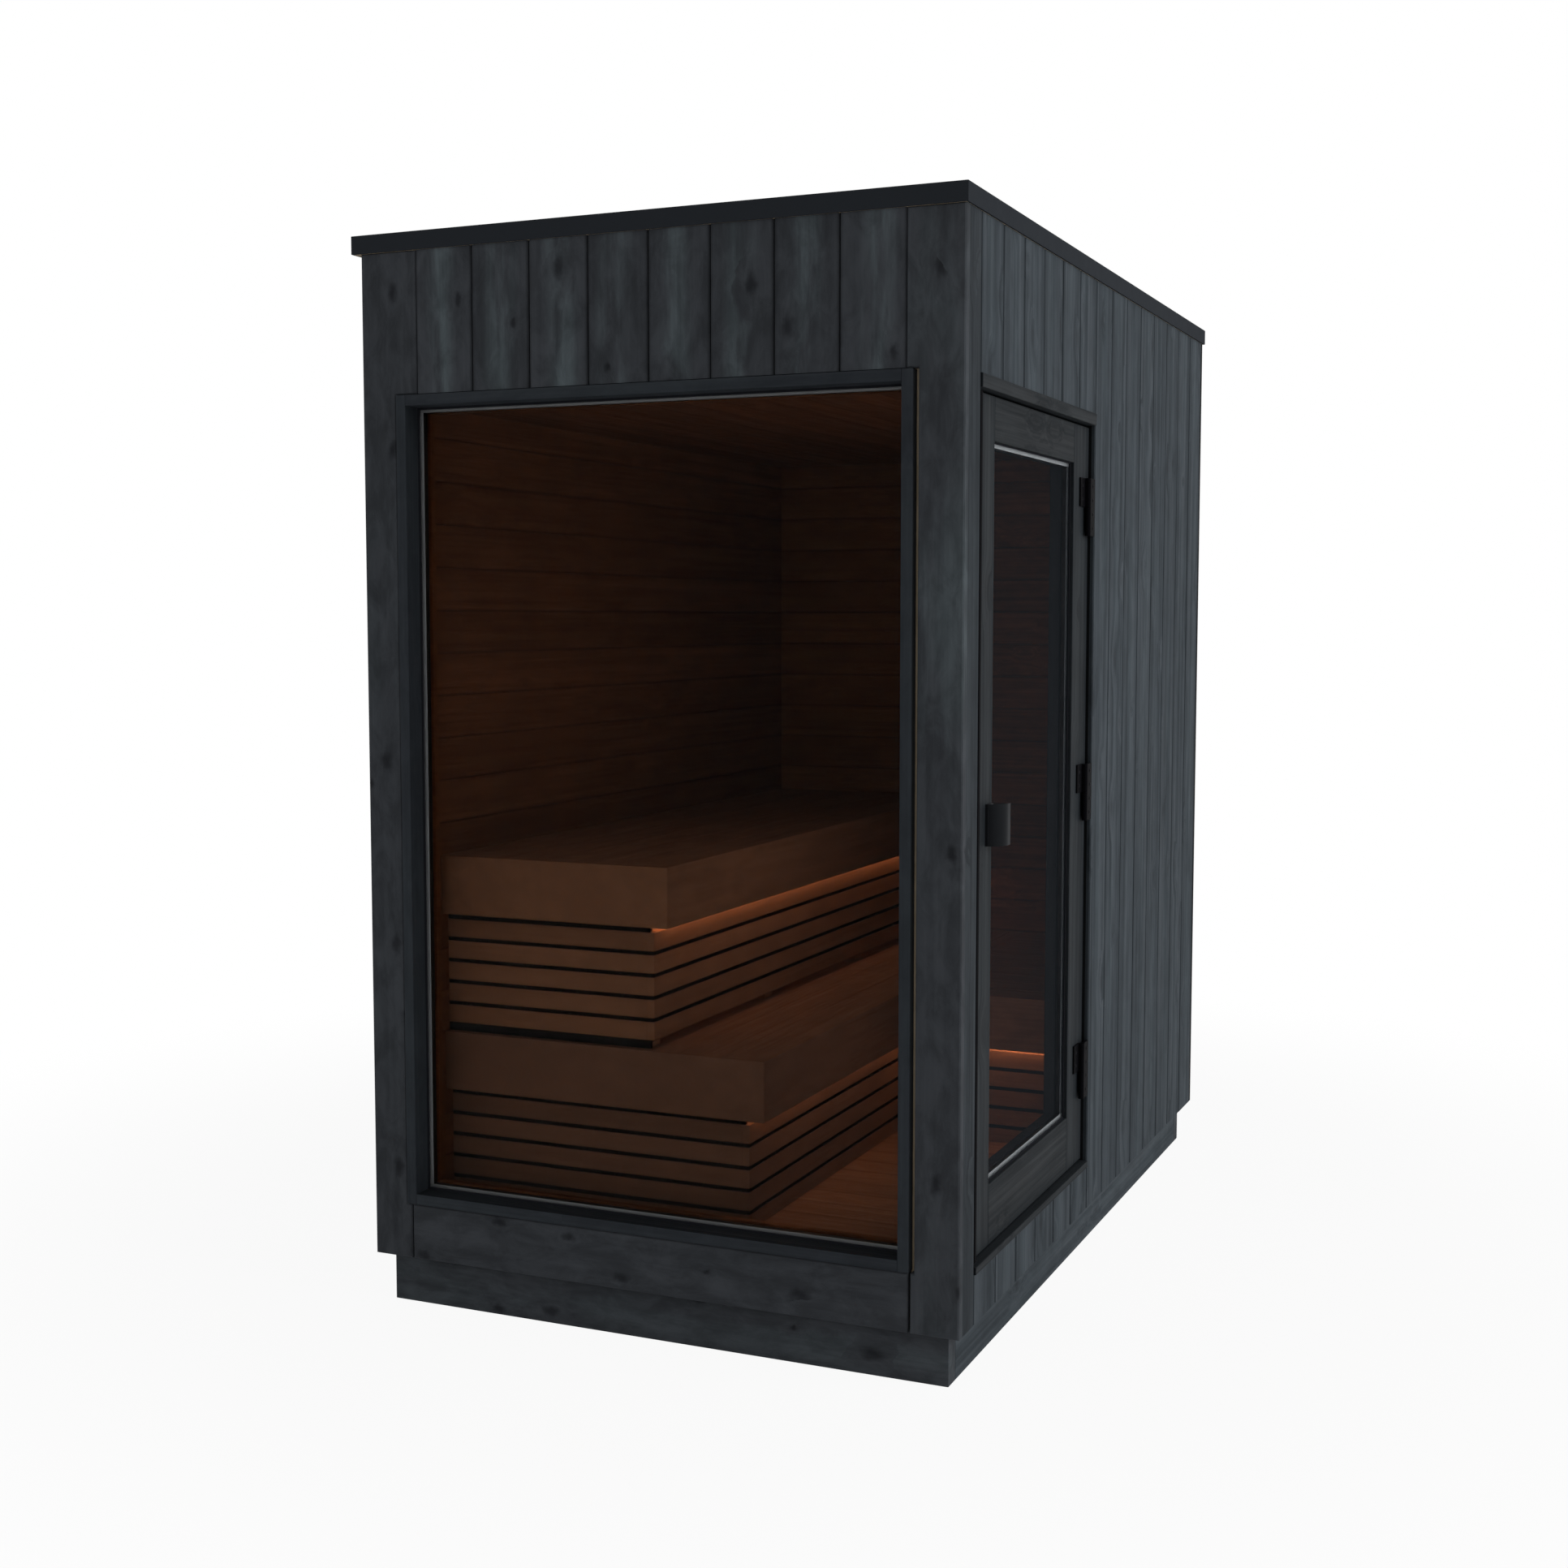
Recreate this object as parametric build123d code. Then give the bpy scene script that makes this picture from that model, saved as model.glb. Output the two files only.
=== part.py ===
from build123d import *
import os

os.makedirs("parts", exist_ok=True)

# An outdoor sauna cabin: a timber box on a plinth, with a large fixed window
# in the front wall, a glazed door in the right wall and two tiers of benches.
# The front faces -Y, the door side +X, and z = 0 is the ground.

# Overall sizes
wall_width = 1400.0
wall_depth = 2200.0
total_height = 2400.0

# Plinth and floor
plinth_height = 112.0
plinth_board = 45.0
plinth_inset = 31.0
plinth_inset_back = 41.0
bearer_width = 95.0
bearer_from_end = 280.0
floor_thickness = 104.0

# Wall layers, from outside to inside
cladding_board = 22.0
core = 57.0
lining_board = 15.0
ceiling_under_roof = 325.0
ceiling_board = 15.0
lining_past_ceiling = 30.0

# Roof edge
fascia_height = 40.0
fascia_plate = 5.0
fascia_overhang = 5.0
fascia_overhang_left = 22.0
fascia_flange = 48.0
flange_plate = 4.0
roof_sheet_plate = 4.0

# Window in the front wall: the daylight opening and the casing round it
window_from_left = 112.0
window_from_right = 131.0
window_sill = 262.0
cladding_over_window = 311.0
casing_board = 24.0
casing_proud = 3.0
window_recess = 50.0
pane = 6.0
pane_gap = 16.0
glazing_bite = 8.0
spacer_sight = 10.0
lining_lap = 12.0

# Door opening in the right wall, measured from the front corner
door_from_corner = 102.0
door_width = 885.0
cladding_over_door = 313.0
head_board = 28.0
jamb_board = 28.0
stop_height = 14.0
near_stop = 30.0
hinge_side_stop = 20.0
threshold_rise = 16.0

# Door leaf
leaf_recess = 15.0
leaf_thickness = 44.0
leaf_clearance = 5.0
swing_clearance = 7.0
stile_width = 130.0
top_rail = 91.0
bottom_rail = 131.0
door_pane = 4.0
door_pane_gap = 12.0
door_glass_recess = 10.0

# Hinges
hinge_count = 3
hinge_from_leaf_top = 190.0
hinge_from_leaf_bottom = 227.0
hinge_height = 136.0
hinge_from_edge = 37.0
hinge_axis_proud = 10.0
knuckle_radius = 7.0
knuckle_gap = 1.0
pin_radius = 4.0
pin_clearance = 0.05
hinge_plate = 4.0
frame_plate = 6.0
hinge_leaf_width = 45.0

# Handle, the same inside and outside
handle_level = 1135.0
handle_height = 87.0
handle_from_edge = 86.0
handle_radius = 38.0
handle_plate = 6.0
handle_tip = 15.0
handle_foot = 34.0

# Benches
upper_bench_from_front = 142.0
lower_bench_from_front = 152.0
upper_seat_top = 1017.0
upper_seat_depth = 584.0
lower_seat_top = 605.0
lower_seat_depth = 811.0
return_from_front = 1070.0
return_bearer_count = 3
seat_board = 28.0
apron_height = 136.0
skirt_setback_front = 48.0
skirt_setback_end = 28.0
slat_count = 5
slat_height = 42.0
slat_gap = 8.0
apron_gap = 15.0
slat_foot_gap = 2.0
slat_thickness = 18.0
batten_thickness = 22.0
batten_width = 30.0
end_batten_from_wall = 105.0
post_count = 4
post_size = 45.0
bearer_height = 70.0
light_width = 16.0
light_height = 12.0
light_rise = 6.0
light_end_gap = 40.0

# Faces worked out from the sizes above
right_face = wall_width / 2
left_face = -right_face
back_face = wall_depth / 2
front_face = -back_face
wall_top = total_height - fascia_height
core_right = right_face - cladding_board
core_left = -core_right
core_back = back_face - cladding_board
core_front = -core_back
lining_right = core_right - core
lining_left = -lining_right
lining_back = core_back - core
lining_front = -lining_back
room_right = lining_right - lining_board
room_left = -room_right
room_back = lining_back - lining_board
room_front = -room_back
floor_top = plinth_height + floor_thickness
ceiling_underside = wall_top - ceiling_under_roof
lining_top = ceiling_underside + lining_past_ceiling


def block(x0, x1, y0, y1, z0, z1):
    """A box between two opposite corners."""
    return Pos((x0 + x1) / 2, (y0 + y1) / 2, (z0 + z1) / 2) * Box(x1 - x0, y1 - y0, z1 - z0)


def save(name, shape):
    """Write one node; pieces that don't touch may share it."""
    if isinstance(shape, list):
        shape = Compound(children=shape)
    export_step(shape, "parts/" + name + ".step")


def spread(first, last, count):
    """Evenly spaced places from first to last."""
    step = (last - first) / (count - 1)
    return [first + step * index for index in range(count)]


# Base: four plinth boards, three bearers between them, and the floor
plinth_left_face = left_face + plinth_inset
plinth_right_face = right_face - plinth_inset
plinth_front_face = front_face + plinth_inset
plinth_back_face = back_face - plinth_inset_back


def make_base():
    inner_left = plinth_left_face + plinth_board
    inner_right = plinth_right_face - plinth_board
    inner_front = plinth_front_face + plinth_board
    inner_back = plinth_back_face - plinth_board
    save("plinth_ends", [block(plinth_left_face, plinth_right_face,
                               plinth_front_face, inner_front, 0, plinth_height),
                         block(plinth_left_face, plinth_right_face,
                               inner_back, plinth_back_face, 0, plinth_height)])
    save("plinth_sides", [block(plinth_left_face, inner_left,
                                inner_front, inner_back, 0, plinth_height),
                          block(inner_right, plinth_right_face,
                                inner_front, inner_back, 0, plinth_height)])
    outer_bearer = back_face - bearer_from_end
    bearers = [block(inner_left, inner_right, y - bearer_width / 2, y + bearer_width / 2,
                     0, plinth_height)
               for y in (-outer_bearer, 0, outer_bearer)]
    save("base_bearers", bearers)
    save("floor", block(lining_left, lining_right, lining_front, lining_back,
                        plinth_height, floor_top))


# Window opening: the daylight size, and the hole outside its casing
hole_top = wall_top - cladding_over_window
window_head = hole_top - casing_board
window_left = left_face + window_from_left
window_right = right_face - window_from_right
hole_left = window_left - casing_board
hole_right = window_right + casing_board
hole_bottom = window_sill - casing_board

# Door opening: the clear size between the jambs, and the hole behind the jambs
door_near = front_face + door_from_corner
door_far = door_near + door_width
frame_near = lining_front
frame_far = door_far + jamb_board
door_hole_top = wall_top - cladding_over_door
head_underside = door_hole_top - head_board
threshold_top = floor_top + threshold_rise


def make_walls():
    # Insulated cores, which carry the roof
    save("wall_beside_window", [block(core_left, hole_left, core_front, lining_front,
                                      plinth_height, wall_top),
                                block(hole_right, core_right, core_front, lining_front,
                                      plinth_height, wall_top)])
    save("wall_over_window", block(hole_left, hole_right, core_front, lining_front,
                                   hole_top, wall_top))
    save("wall_under_window", block(hole_left, hole_right, core_front, lining_front,
                                    plinth_height, hole_bottom))
    save("wall_back", block(core_left, core_right, lining_back, core_back,
                            plinth_height, wall_top))
    save("wall_left", block(core_left, lining_left, lining_front, lining_back,
                            plinth_height, wall_top))
    save("wall_beside_door", block(lining_right, core_right, frame_far, lining_back,
                                   plinth_height, wall_top))
    save("wall_over_door", block(lining_right, core_right, frame_near, frame_far,
                                 door_hole_top, wall_top))
    save("wall_under_door", block(lining_right, core_right, frame_near, frame_far,
                                  plinth_height, floor_top))

    # Outer cladding, which laps over the door jambs
    front = block(left_face, right_face, front_face, core_front, plinth_height, wall_top)
    front -= block(hole_left, hole_right, front_face, core_front, hole_bottom, hole_top)
    save("cladding_front", front)
    save("cladding_back", block(left_face, right_face, core_back, back_face,
                                plinth_height, wall_top))
    save("cladding_left", block(left_face, core_left, core_front, core_back,
                                plinth_height, wall_top))
    right = block(core_right, right_face, core_front, core_back, plinth_height, wall_top)
    right -= block(core_right, right_face, door_near, door_far, floor_top, door_hole_top)
    save("cladding_right", right)

    # Inner lining, which laps over the window casing, and the ceiling between the linings
    front = block(lining_left, room_right, lining_front, room_front, floor_top, lining_top)
    front -= block(window_left + lining_lap, window_right - lining_lap,
                   lining_front, room_front,
                   window_sill + lining_lap, window_head - lining_lap)
    save("lining_front", front)
    save("lining_back", block(lining_left, lining_right, room_back, lining_back,
                              floor_top, lining_top))
    save("lining_left", block(lining_left, room_left, room_front, room_back,
                              floor_top, lining_top))
    right = block(room_right, lining_right, lining_front, room_back, floor_top, lining_top)
    right -= block(room_right, lining_right, frame_near, frame_far, floor_top, door_hole_top)
    save("lining_right", right)
    save("ceiling", block(room_left, room_right, room_front, room_back,
                          ceiling_underside, ceiling_underside + ceiling_board))


# Roof: deck, sheet and a folded edge trim on each side
edge_left = left_face - fascia_overhang_left
edge_right = right_face + fascia_overhang
edge_front = front_face - fascia_overhang
edge_back = back_face + fascia_overhang


def trim_side(corner_a, corner_b, inward):
    """One side of the roof trim, mitred, from its two outer corners."""
    (ax, ay), (bx, by) = corner_a, corner_b
    ix, iy = inward
    along = (1 if bx > ax else 0, 1 if by > ay else 0)
    reach = fascia_flange
    points = [(ax, ay), (bx, by),
              (bx + reach * (ix - along[0]), by + reach * (iy - along[1])),
              (ax + reach * (ix + along[0]), ay + reach * (iy + along[1]))]
    wedge = Polyline(*points, close=True)
    return extrude(make_face(wedge), total_height)


def make_roof():
    deck_top = total_height - flange_plate - roof_sheet_plate
    deck = (edge_left + fascia_plate, edge_right - fascia_plate,
            edge_front + fascia_plate, edge_back - fascia_plate)
    save("roof_deck", block(*deck, wall_top, deck_top))
    save("roof_sheet", block(*deck, deck_top, deck_top + roof_sheet_plate))
    ring = block(edge_left, edge_right, edge_front, edge_back, wall_top, total_height)
    ring -= block(*deck, wall_top, total_height - flange_plate)
    ring -= block(edge_left + fascia_flange, edge_right - fascia_flange,
                  edge_front + fascia_flange, edge_back - fascia_flange,
                  wall_top, total_height)
    front = trim_side((edge_left, edge_front), (edge_right, edge_front), (0, 1))
    back = trim_side((edge_left, edge_back), (edge_right, edge_back), (0, -1))
    left = trim_side((edge_left, edge_front), (edge_left, edge_back), (1, 0))
    right = trim_side((edge_right, edge_front), (edge_right, edge_back), (-1, 0))
    save("fascia_ends", [ring & front, ring & back])
    save("fascia_sides", [ring & left, ring & right])


# Window: a deep casing, and two panes held apart by a spacer
glass_front = front_face - casing_proud + window_recess


def make_window():
    unit = pane * 2 + pane_gap
    groove = block(window_left - glazing_bite, window_right + glazing_bite,
                   glass_front, glass_front + unit,
                   window_sill - glazing_bite, window_head + glazing_bite)
    outside = front_face - casing_proud
    left = block(hole_left, window_left, outside, lining_front, hole_bottom, hole_top)
    right = block(window_right, hole_right, outside, lining_front, hole_bottom, hole_top)
    head = block(window_left, window_right, outside, lining_front, window_head, hole_top)
    sill = block(window_left, window_right, outside, lining_front, hole_bottom, window_sill)
    save("window_jambs", [left - groove, right - groove])
    save("window_head", head - groove)
    save("window_sill", sill - groove)

    def sheet(y0, y1, shrink):
        return block(window_left + shrink, window_right - shrink, y0, y1,
                     window_sill + shrink, window_head - shrink)

    inner_pane = glass_front + pane + pane_gap
    save("window_glass", [sheet(glass_front, glass_front + pane, -glazing_bite),
                          sheet(inner_pane, inner_pane + pane, -glazing_bite)])
    spacer = sheet(glass_front + pane, inner_pane, -glazing_bite)
    spacer -= sheet(glass_front + pane, inner_pane, spacer_sight)
    save("window_spacer", spacer)


# Door frame: jambs behind the cladding, a head and a threshold that reach its face
frame_outer = right_face + casing_proud
leaf_outer = right_face - leaf_recess
leaf_inner = leaf_outer - leaf_thickness


def make_door_frame():
    near = block(room_right, core_right, frame_near, door_near, floor_top, door_hole_top)
    near += block(room_right, room_right + near_stop, door_near, door_near + stop_height,
                  threshold_top, head_underside)
    far = block(room_right, core_right, door_far, frame_far, floor_top, door_hole_top)
    far += block(room_right, room_right + hinge_side_stop, door_far - stop_height, door_far,
                 threshold_top, head_underside)
    save("door_jambs", [near, far])
    head = block(room_right, frame_outer, door_near, door_far, head_underside, door_hole_top)
    head += block(room_right, room_right + hinge_side_stop,
                  door_near + stop_height, door_far - stop_height,
                  head_underside - stop_height, head_underside)
    save("door_head", head)
    save("door_threshold", block(room_right, frame_outer, door_near, door_far,
                                 floor_top, threshold_top))


# Door leaf: stiles, rails and a double pane in grooves
leaf_near = door_near + swing_clearance
leaf_far = door_far - leaf_clearance
leaf_bottom = threshold_top + leaf_clearance
leaf_top = head_underside - leaf_clearance
sight_near = leaf_near + stile_width
sight_far = leaf_far - stile_width
sight_bottom = leaf_bottom + bottom_rail
sight_top = leaf_top - top_rail


def make_leaf():
    glass_outer = leaf_outer - door_glass_recess
    unit = door_pane * 2 + door_pane_gap
    groove = block(glass_outer - unit, glass_outer,
                   sight_near - glazing_bite, sight_far + glazing_bite,
                   sight_bottom - glazing_bite, sight_top + glazing_bite)
    near = block(leaf_inner, leaf_outer, leaf_near, sight_near, leaf_bottom, leaf_top)
    far = block(leaf_inner, leaf_outer, sight_far, leaf_far, leaf_bottom, leaf_top)
    top = block(leaf_inner, leaf_outer, sight_near, sight_far, sight_top, leaf_top)
    bottom = block(leaf_inner, leaf_outer, sight_near, sight_far, leaf_bottom, sight_bottom)
    save("door_stiles", [near - groove, far - groove])
    save("door_rails", [top - groove, bottom - groove])

    def sheet(x0, x1, shrink):
        return block(x0, x1, sight_near + shrink, sight_far - shrink,
                     sight_bottom + shrink, sight_top - shrink)

    inner_pane = glass_outer - unit + door_pane
    save("door_glass", [sheet(glass_outer - door_pane, glass_outer, -glazing_bite),
                        sheet(glass_outer - unit, inner_pane, -glazing_bite)])
    spacer = sheet(inner_pane, glass_outer - door_pane, -glazing_bite)
    spacer -= sheet(inner_pane, glass_outer - door_pane, spacer_sight)
    save("door_spacer", spacer)


# Lift-off hinges: the frame half holds a pin, the door half slips over it
hinge_x = leaf_outer + hinge_axis_proud
hinge_y = leaf_far - hinge_from_edge


def make_hinges():
    frame_halves = []
    door_halves = []
    half = hinge_height / 2 - knuckle_gap / 2
    edge = hinge_y + knuckle_radius + knuckle_gap
    plate_outer = right_face
    plate_inner = plate_outer - frame_plate
    for level in spread(leaf_bottom + hinge_from_leaf_bottom, leaf_top - hinge_from_leaf_top,
                        hinge_count):
        low = level - hinge_height / 2
        high = level + hinge_height / 2

        knuckle = Pos(hinge_x, hinge_y, low + half / 2) * Cylinder(knuckle_radius, half)
        pin_length = hinge_height - pin_radius
        pin = Pos(hinge_x, hinge_y, low + pin_length / 2) * Cylinder(pin_radius, pin_length)
        web = block(plate_inner, plate_outer, hinge_y, edge, low, low + half)
        plate = block(plate_inner, plate_outer, edge, door_far, low, high)
        frame_halves.append(knuckle + web + plate + pin)

        bore = Pos(hinge_x, hinge_y, high - half / 2) * Cylinder(pin_radius + pin_clearance, half)
        sleeve = Pos(hinge_x, hinge_y, high - half / 2) * Cylinder(knuckle_radius, half)
        web = block(leaf_outer, hinge_x, hinge_y - knuckle_radius, hinge_y, high - half, high)
        leaf = block(leaf_outer, leaf_outer + hinge_plate, hinge_y - hinge_leaf_width, hinge_y,
                     high - half, high)
        door_halves.append(sleeve + web + leaf - bore)
    save("hinge_frame_halves", frame_halves)
    save("hinge_door_halves", door_halves)


def pull(face, outward):
    """A curved pull: a foot on the leaf and a wing that bends over towards the glass."""
    start = leaf_near + handle_from_edge
    bend = start + handle_radius
    ring = Circle(handle_radius) - Circle(handle_radius - handle_plate)
    quarter = ring & Pos(outward * handle_radius / 2, -handle_radius / 2) * Rectangle(
        handle_radius, handle_radius)
    wing = Pos(face, bend, 0) * extrude(quarter, handle_height)
    crest = sorted((face + outward * handle_radius,
                    face + outward * (handle_radius - handle_plate)))
    foot = sorted((face, face + outward * handle_plate))
    wing += block(*crest, bend, bend + handle_tip, 0, handle_height)
    wing += block(*foot, start, start + handle_foot, 0, handle_height)
    return Pos(0, 0, handle_level - handle_height / 2) * wing


def slat_rows(apron_bottom, stands_on):
    """The lowest and the highest level of each slat under an apron."""
    first_top = apron_bottom - apron_gap
    tops = [first_top - (slat_height + slat_gap) * index for index in range(slat_count)]
    lowest = max(tops[-1] - slat_height, stands_on + slat_foot_gap)
    return [(max(top - slat_height, lowest), top) for top in tops]


def bench(name, from_front, seat_top, seat_depth, stands_on):
    """One tier: a seat with a deep apron and two slatted skirts; its bearers and light."""
    seat_front = room_left + seat_depth
    seat_end = front_face + from_front
    underside = seat_top - seat_board
    apron_bottom = seat_top - apron_height
    seat = block(room_left, seat_front, seat_end, room_back, apron_bottom, seat_top)
    seat -= block(room_left, seat_front - seat_board, seat_end + seat_board, room_back,
                  apron_bottom, underside)
    save(name + "_seat", seat)

    skirt_front = seat_front - skirt_setback_front
    skirt_end = seat_end + skirt_setback_end
    slats_back = skirt_front - slat_thickness
    rows = slat_rows(apron_bottom, stands_on)
    skirt_bottom = rows[-1][0]

    # Posts behind the front slats; a batten behind the end slats
    post_y = spread(skirt_end + slat_thickness, room_back - post_size, post_count)
    post_back = slats_back - post_size
    front = [block(post_back, slats_back, y, y + post_size, stands_on, underside)
             for y in post_y]
    batten_left = room_left + end_batten_from_wall
    end = [block(batten_left, batten_left + batten_width, skirt_end + slat_thickness,
                 skirt_end + slat_thickness + batten_thickness,
                 skirt_bottom, underside - bearer_height)]
    for bottom, top in rows:
        front.append(block(slats_back, skirt_front, skirt_end, room_back, bottom, top))
        end.append(block(room_left, slats_back, skirt_end, skirt_end + slat_thickness,
                         bottom, top))
    save(name + "_front_skirt", front[0].fuse(*front[1:]))
    save(name + "_end_skirt", end[0].fuse(*end[1:]))

    # Bearers run from the wall to the posts, under the seat
    bearers = [block(room_left, post_back, y, y + post_size, underside - bearer_height,
                     underside)
               for y in post_y]

    inner = seat_front - seat_board
    light = block(inner - light_width, inner, seat_end + seat_board + light_end_gap,
                  room_back - light_end_gap,
                  apron_bottom + light_rise, apron_bottom + light_rise + light_height)
    return bearers, light


def bench_return():
    """The lower tier turns the corner behind the door, at its own level."""
    left = room_left + lower_seat_depth
    front = front_face + return_from_front
    underside = lower_seat_top - seat_board
    apron_bottom = lower_seat_top - apron_height
    seat = block(left, room_right, front, room_back, underside, lower_seat_top)
    seat += block(left, room_right, front, front + seat_board, apron_bottom, underside)
    save("lower_bench_return_seat", seat)

    # Slats that butt on those of the long bench, on two posts
    slats_left = left - skirt_setback_front
    slats_front = front + skirt_setback_front
    slats_back = slats_front + slat_thickness
    skirt = [block(x, x + post_size, slats_back, slats_back + post_size, floor_top, underside)
             for x in (left, room_right - post_size)]
    skirt += [block(slats_left, room_right, slats_front, slats_back, bottom, top)
              for bottom, top in slat_rows(apron_bottom, floor_top)]
    save("lower_bench_return_skirt", skirt[0].fuse(*skirt[1:]))

    # Bearers: one between the posts, the others from the long bench's apron to the wall
    first_y, *other_y = spread(slats_back, room_back - post_size, return_bearer_count)
    bearers = [block(left + post_size, room_right - post_size, first_y, first_y + post_size,
                     underside - bearer_height, underside)]
    bearers += [block(left, room_right, y, y + post_size, underside - bearer_height, underside)
                for y in other_y]

    inner = front + seat_board
    light = block(left + light_end_gap, room_right - light_end_gap, inner, inner + light_width,
                  apron_bottom + light_rise, apron_bottom + light_rise + light_height)
    return bearers, light


make_base()
make_walls()
make_roof()
make_window()
make_door_frame()
make_leaf()
make_hinges()
save("door_handle", [pull(leaf_outer, 1), pull(leaf_inner, -1)])
lower_bearers, lower_light = bench("lower_bench", lower_bench_from_front, lower_seat_top,
                                   lower_seat_depth, floor_top)
upper_bearers, upper_light = bench("upper_bench", upper_bench_from_front, upper_seat_top,
                                   upper_seat_depth, lower_seat_top)
return_bearers, return_light = bench_return()
save("lower_bench_bearers", lower_bearers + return_bearers)
save("upper_bench_bearers", upper_bearers)
save("bench_lights", [lower_light, upper_light, return_light])
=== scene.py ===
import math

import bmesh
import bpy
from mathutils import Matrix, Vector


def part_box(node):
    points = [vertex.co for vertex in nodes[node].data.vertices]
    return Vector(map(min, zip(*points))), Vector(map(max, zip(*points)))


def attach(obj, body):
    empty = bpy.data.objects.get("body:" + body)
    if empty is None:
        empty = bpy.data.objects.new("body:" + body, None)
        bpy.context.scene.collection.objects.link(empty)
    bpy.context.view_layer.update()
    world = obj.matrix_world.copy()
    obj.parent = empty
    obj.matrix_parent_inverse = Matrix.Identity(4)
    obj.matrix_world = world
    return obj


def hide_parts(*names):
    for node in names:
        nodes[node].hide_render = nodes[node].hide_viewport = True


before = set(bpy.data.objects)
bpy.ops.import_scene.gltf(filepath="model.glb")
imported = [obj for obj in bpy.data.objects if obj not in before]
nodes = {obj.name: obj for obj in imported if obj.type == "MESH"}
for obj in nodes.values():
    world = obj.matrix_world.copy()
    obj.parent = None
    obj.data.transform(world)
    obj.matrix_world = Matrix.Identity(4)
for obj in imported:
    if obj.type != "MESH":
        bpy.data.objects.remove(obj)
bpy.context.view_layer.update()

# An outdoor sauna cabin: black vertical boards, a large front window, a glazed
# side door, and tiered benches lit from under their seat edges.
# Metres, in the part's own frame: the window faces -Y and the door side +X.

scene = bpy.context.scene

# Directions
RIGHT = Vector((1, 0, 0))
BACK = Vector((0, 1, 0))
UP = Vector((0, 0, 1))

# Cladding boards
board_thickness = 0.022
board_face_depth = 0.010
board_edge = 0.0028
board_gap = 0.0022
board_unevenness = 0.0004
right_corner_board = 0.097
boards_over_door = 6
boards_behind_door = 8
boards_on_left = 15
boards_on_back = 10
boards_over_window = 8

# Front stiles, measured from the corners
left_board_over_window = 0.141
right_board_over_window = 0.121
stile_clearance = 0.0015
right_stile_gap = 0.011
panel_clearance = 0.003
panel_left_inset = 0.013

# Lining, floor boards, seats and slats
lining_pitch = 0.100
lining_edge = 0.0009
lining_gap = 0.0005
lining_face_depth = 0.007
lining_unevenness = 0.0003
floor_board_pitch = 0.095
floor_board_depth = 0.018
seat_board_pitch = 0.105
seat_seam_width = 0.003
seat_seam_depth = 0.002
slat_pitch = 0.050
slat_gap = 0.008
slat_thickness = 0.018
slat_count = 5
shadow_strip_depth = 0.0012
slat_shadow = 0.0013

# Where each shaped plank's grain is taken from, and how far off its middle its smear is
plank_smear_place = 0.55
left_stile_grain = 0.31
right_stile_grain = 0.73
panel_grain = 0.55
corner_board_grain = 0.73
shadow_lip_grain = 0.5

# Seeds of the boards' own tones
seeds = {"over_window": 3, "over_door": 5, "behind_door": 8, "left": 11, "back": 14,
         "left_lining": 21, "back_lining": 22, "ceiling": 23, "floor": 24, "right_lining": 25,
         "lining_over_door": 26}

# Seals, beads, lip and screws
window_seal_width = 0.005
door_seal_width = 0.003
seal_depth = 0.002
seal_edge = 0.0005
glass_bite = 0.008
spacer_sight = 0.010
spacer_clearance = 0.0003
bead_width = 0.006
bead_proud = 0.012
lip_width = 0.014
lip_depth = 0.012
lip_edge = 0.002
apron_gap = 0.015
hinge_height = 0.136
hinge_plate = 0.004
hinge_screw_from_edge = 0.014
hinge_screw_from_end = 0.018
handle_plate = 0.006
handle_screw_from_edge = 0.016
screw_radius = 0.0042
screw_height = 0.0012
screws_in_frame_half = 4
screws_in_door_half = 2
screws_in_handle = 2

# Relief and patches of the finishes
grain_relief = 0.0012
grit_relief = 0.0006
grit_scale = 420.0
patch_scale = 30.0
glass_patch_scale = 1.5
glow_patch_scale = 60.0

# Light strips, lamps and the white surroundings
strip_strength = 34.0
strip_down_loss = 0.76
world_light = 0.25
near_white = 0.93
white_from = 1.4
white_at = 3.5
lamp_size = 4.0
lamp_colour = (1.0, 0.98, 0.96)
studio_floor_size = 120.0

# The photograph's view
camera_place = (1.9326, -4.8169, 1.5625)
camera_tilt = -0.07786
camera_turn = 0.41375
camera_lens = 45.69
camera_sensor = 36.0
camera_shift = (0.00484, -0.00717)

# Softened edges of timber and metal
timber_edge = 0.0015
slat_edge = 0.0006
bench_edge = 0.0022
metal_edge = 0.0008

# Limits for merging, cutting and bevelling meshes
merge_distance = 1e-5
cut_distance = 1e-6
flat_angle = math.radians(1)
sharp_angle = math.radians(30)


# Node helpers
def join(tree, node, inputs):
    """Sets a node's inputs to values, or joins them to sockets."""
    for name, value in inputs.items():
        if isinstance(value, bpy.types.NodeSocket):
            tree.links.new(value, node.inputs[name])
        else:
            node.inputs[name].default_value = value


def add(tree, kind, inputs=None, **settings):
    """A node with its settings, and its inputs set or joined."""
    node = tree.nodes.new(kind)
    for name, value in settings.items():
        setattr(node, name, value)
    join(tree, node, inputs or {})
    return node


def output(tree, kind, inputs=None, **settings):
    """The first output of a new node."""
    return add(tree, kind, inputs, **settings).outputs[0]


def math_node(tree, operation, a, b=0.0, clamp=False):
    return output(tree, "ShaderNodeMath", {0: a, 1: b}, operation=operation, use_clamp=clamp)


def plus(tree, a, b):
    return math_node(tree, "ADD", a, b)


def minus(tree, a, b):
    return math_node(tree, "SUBTRACT", a, b)


def times(tree, a, b, clamp=False):
    return math_node(tree, "MULTIPLY", a, b, clamp)


def over(tree, a, b):
    return math_node(tree, "DIVIDE", a, b)


def above(tree, a, b):
    """1 where a is more than b, and otherwise 0."""
    return math_node(tree, "GREATER_THAN", a, b)


def unsigned(tree, a):
    return math_node(tree, "ABSOLUTE", a)


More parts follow.
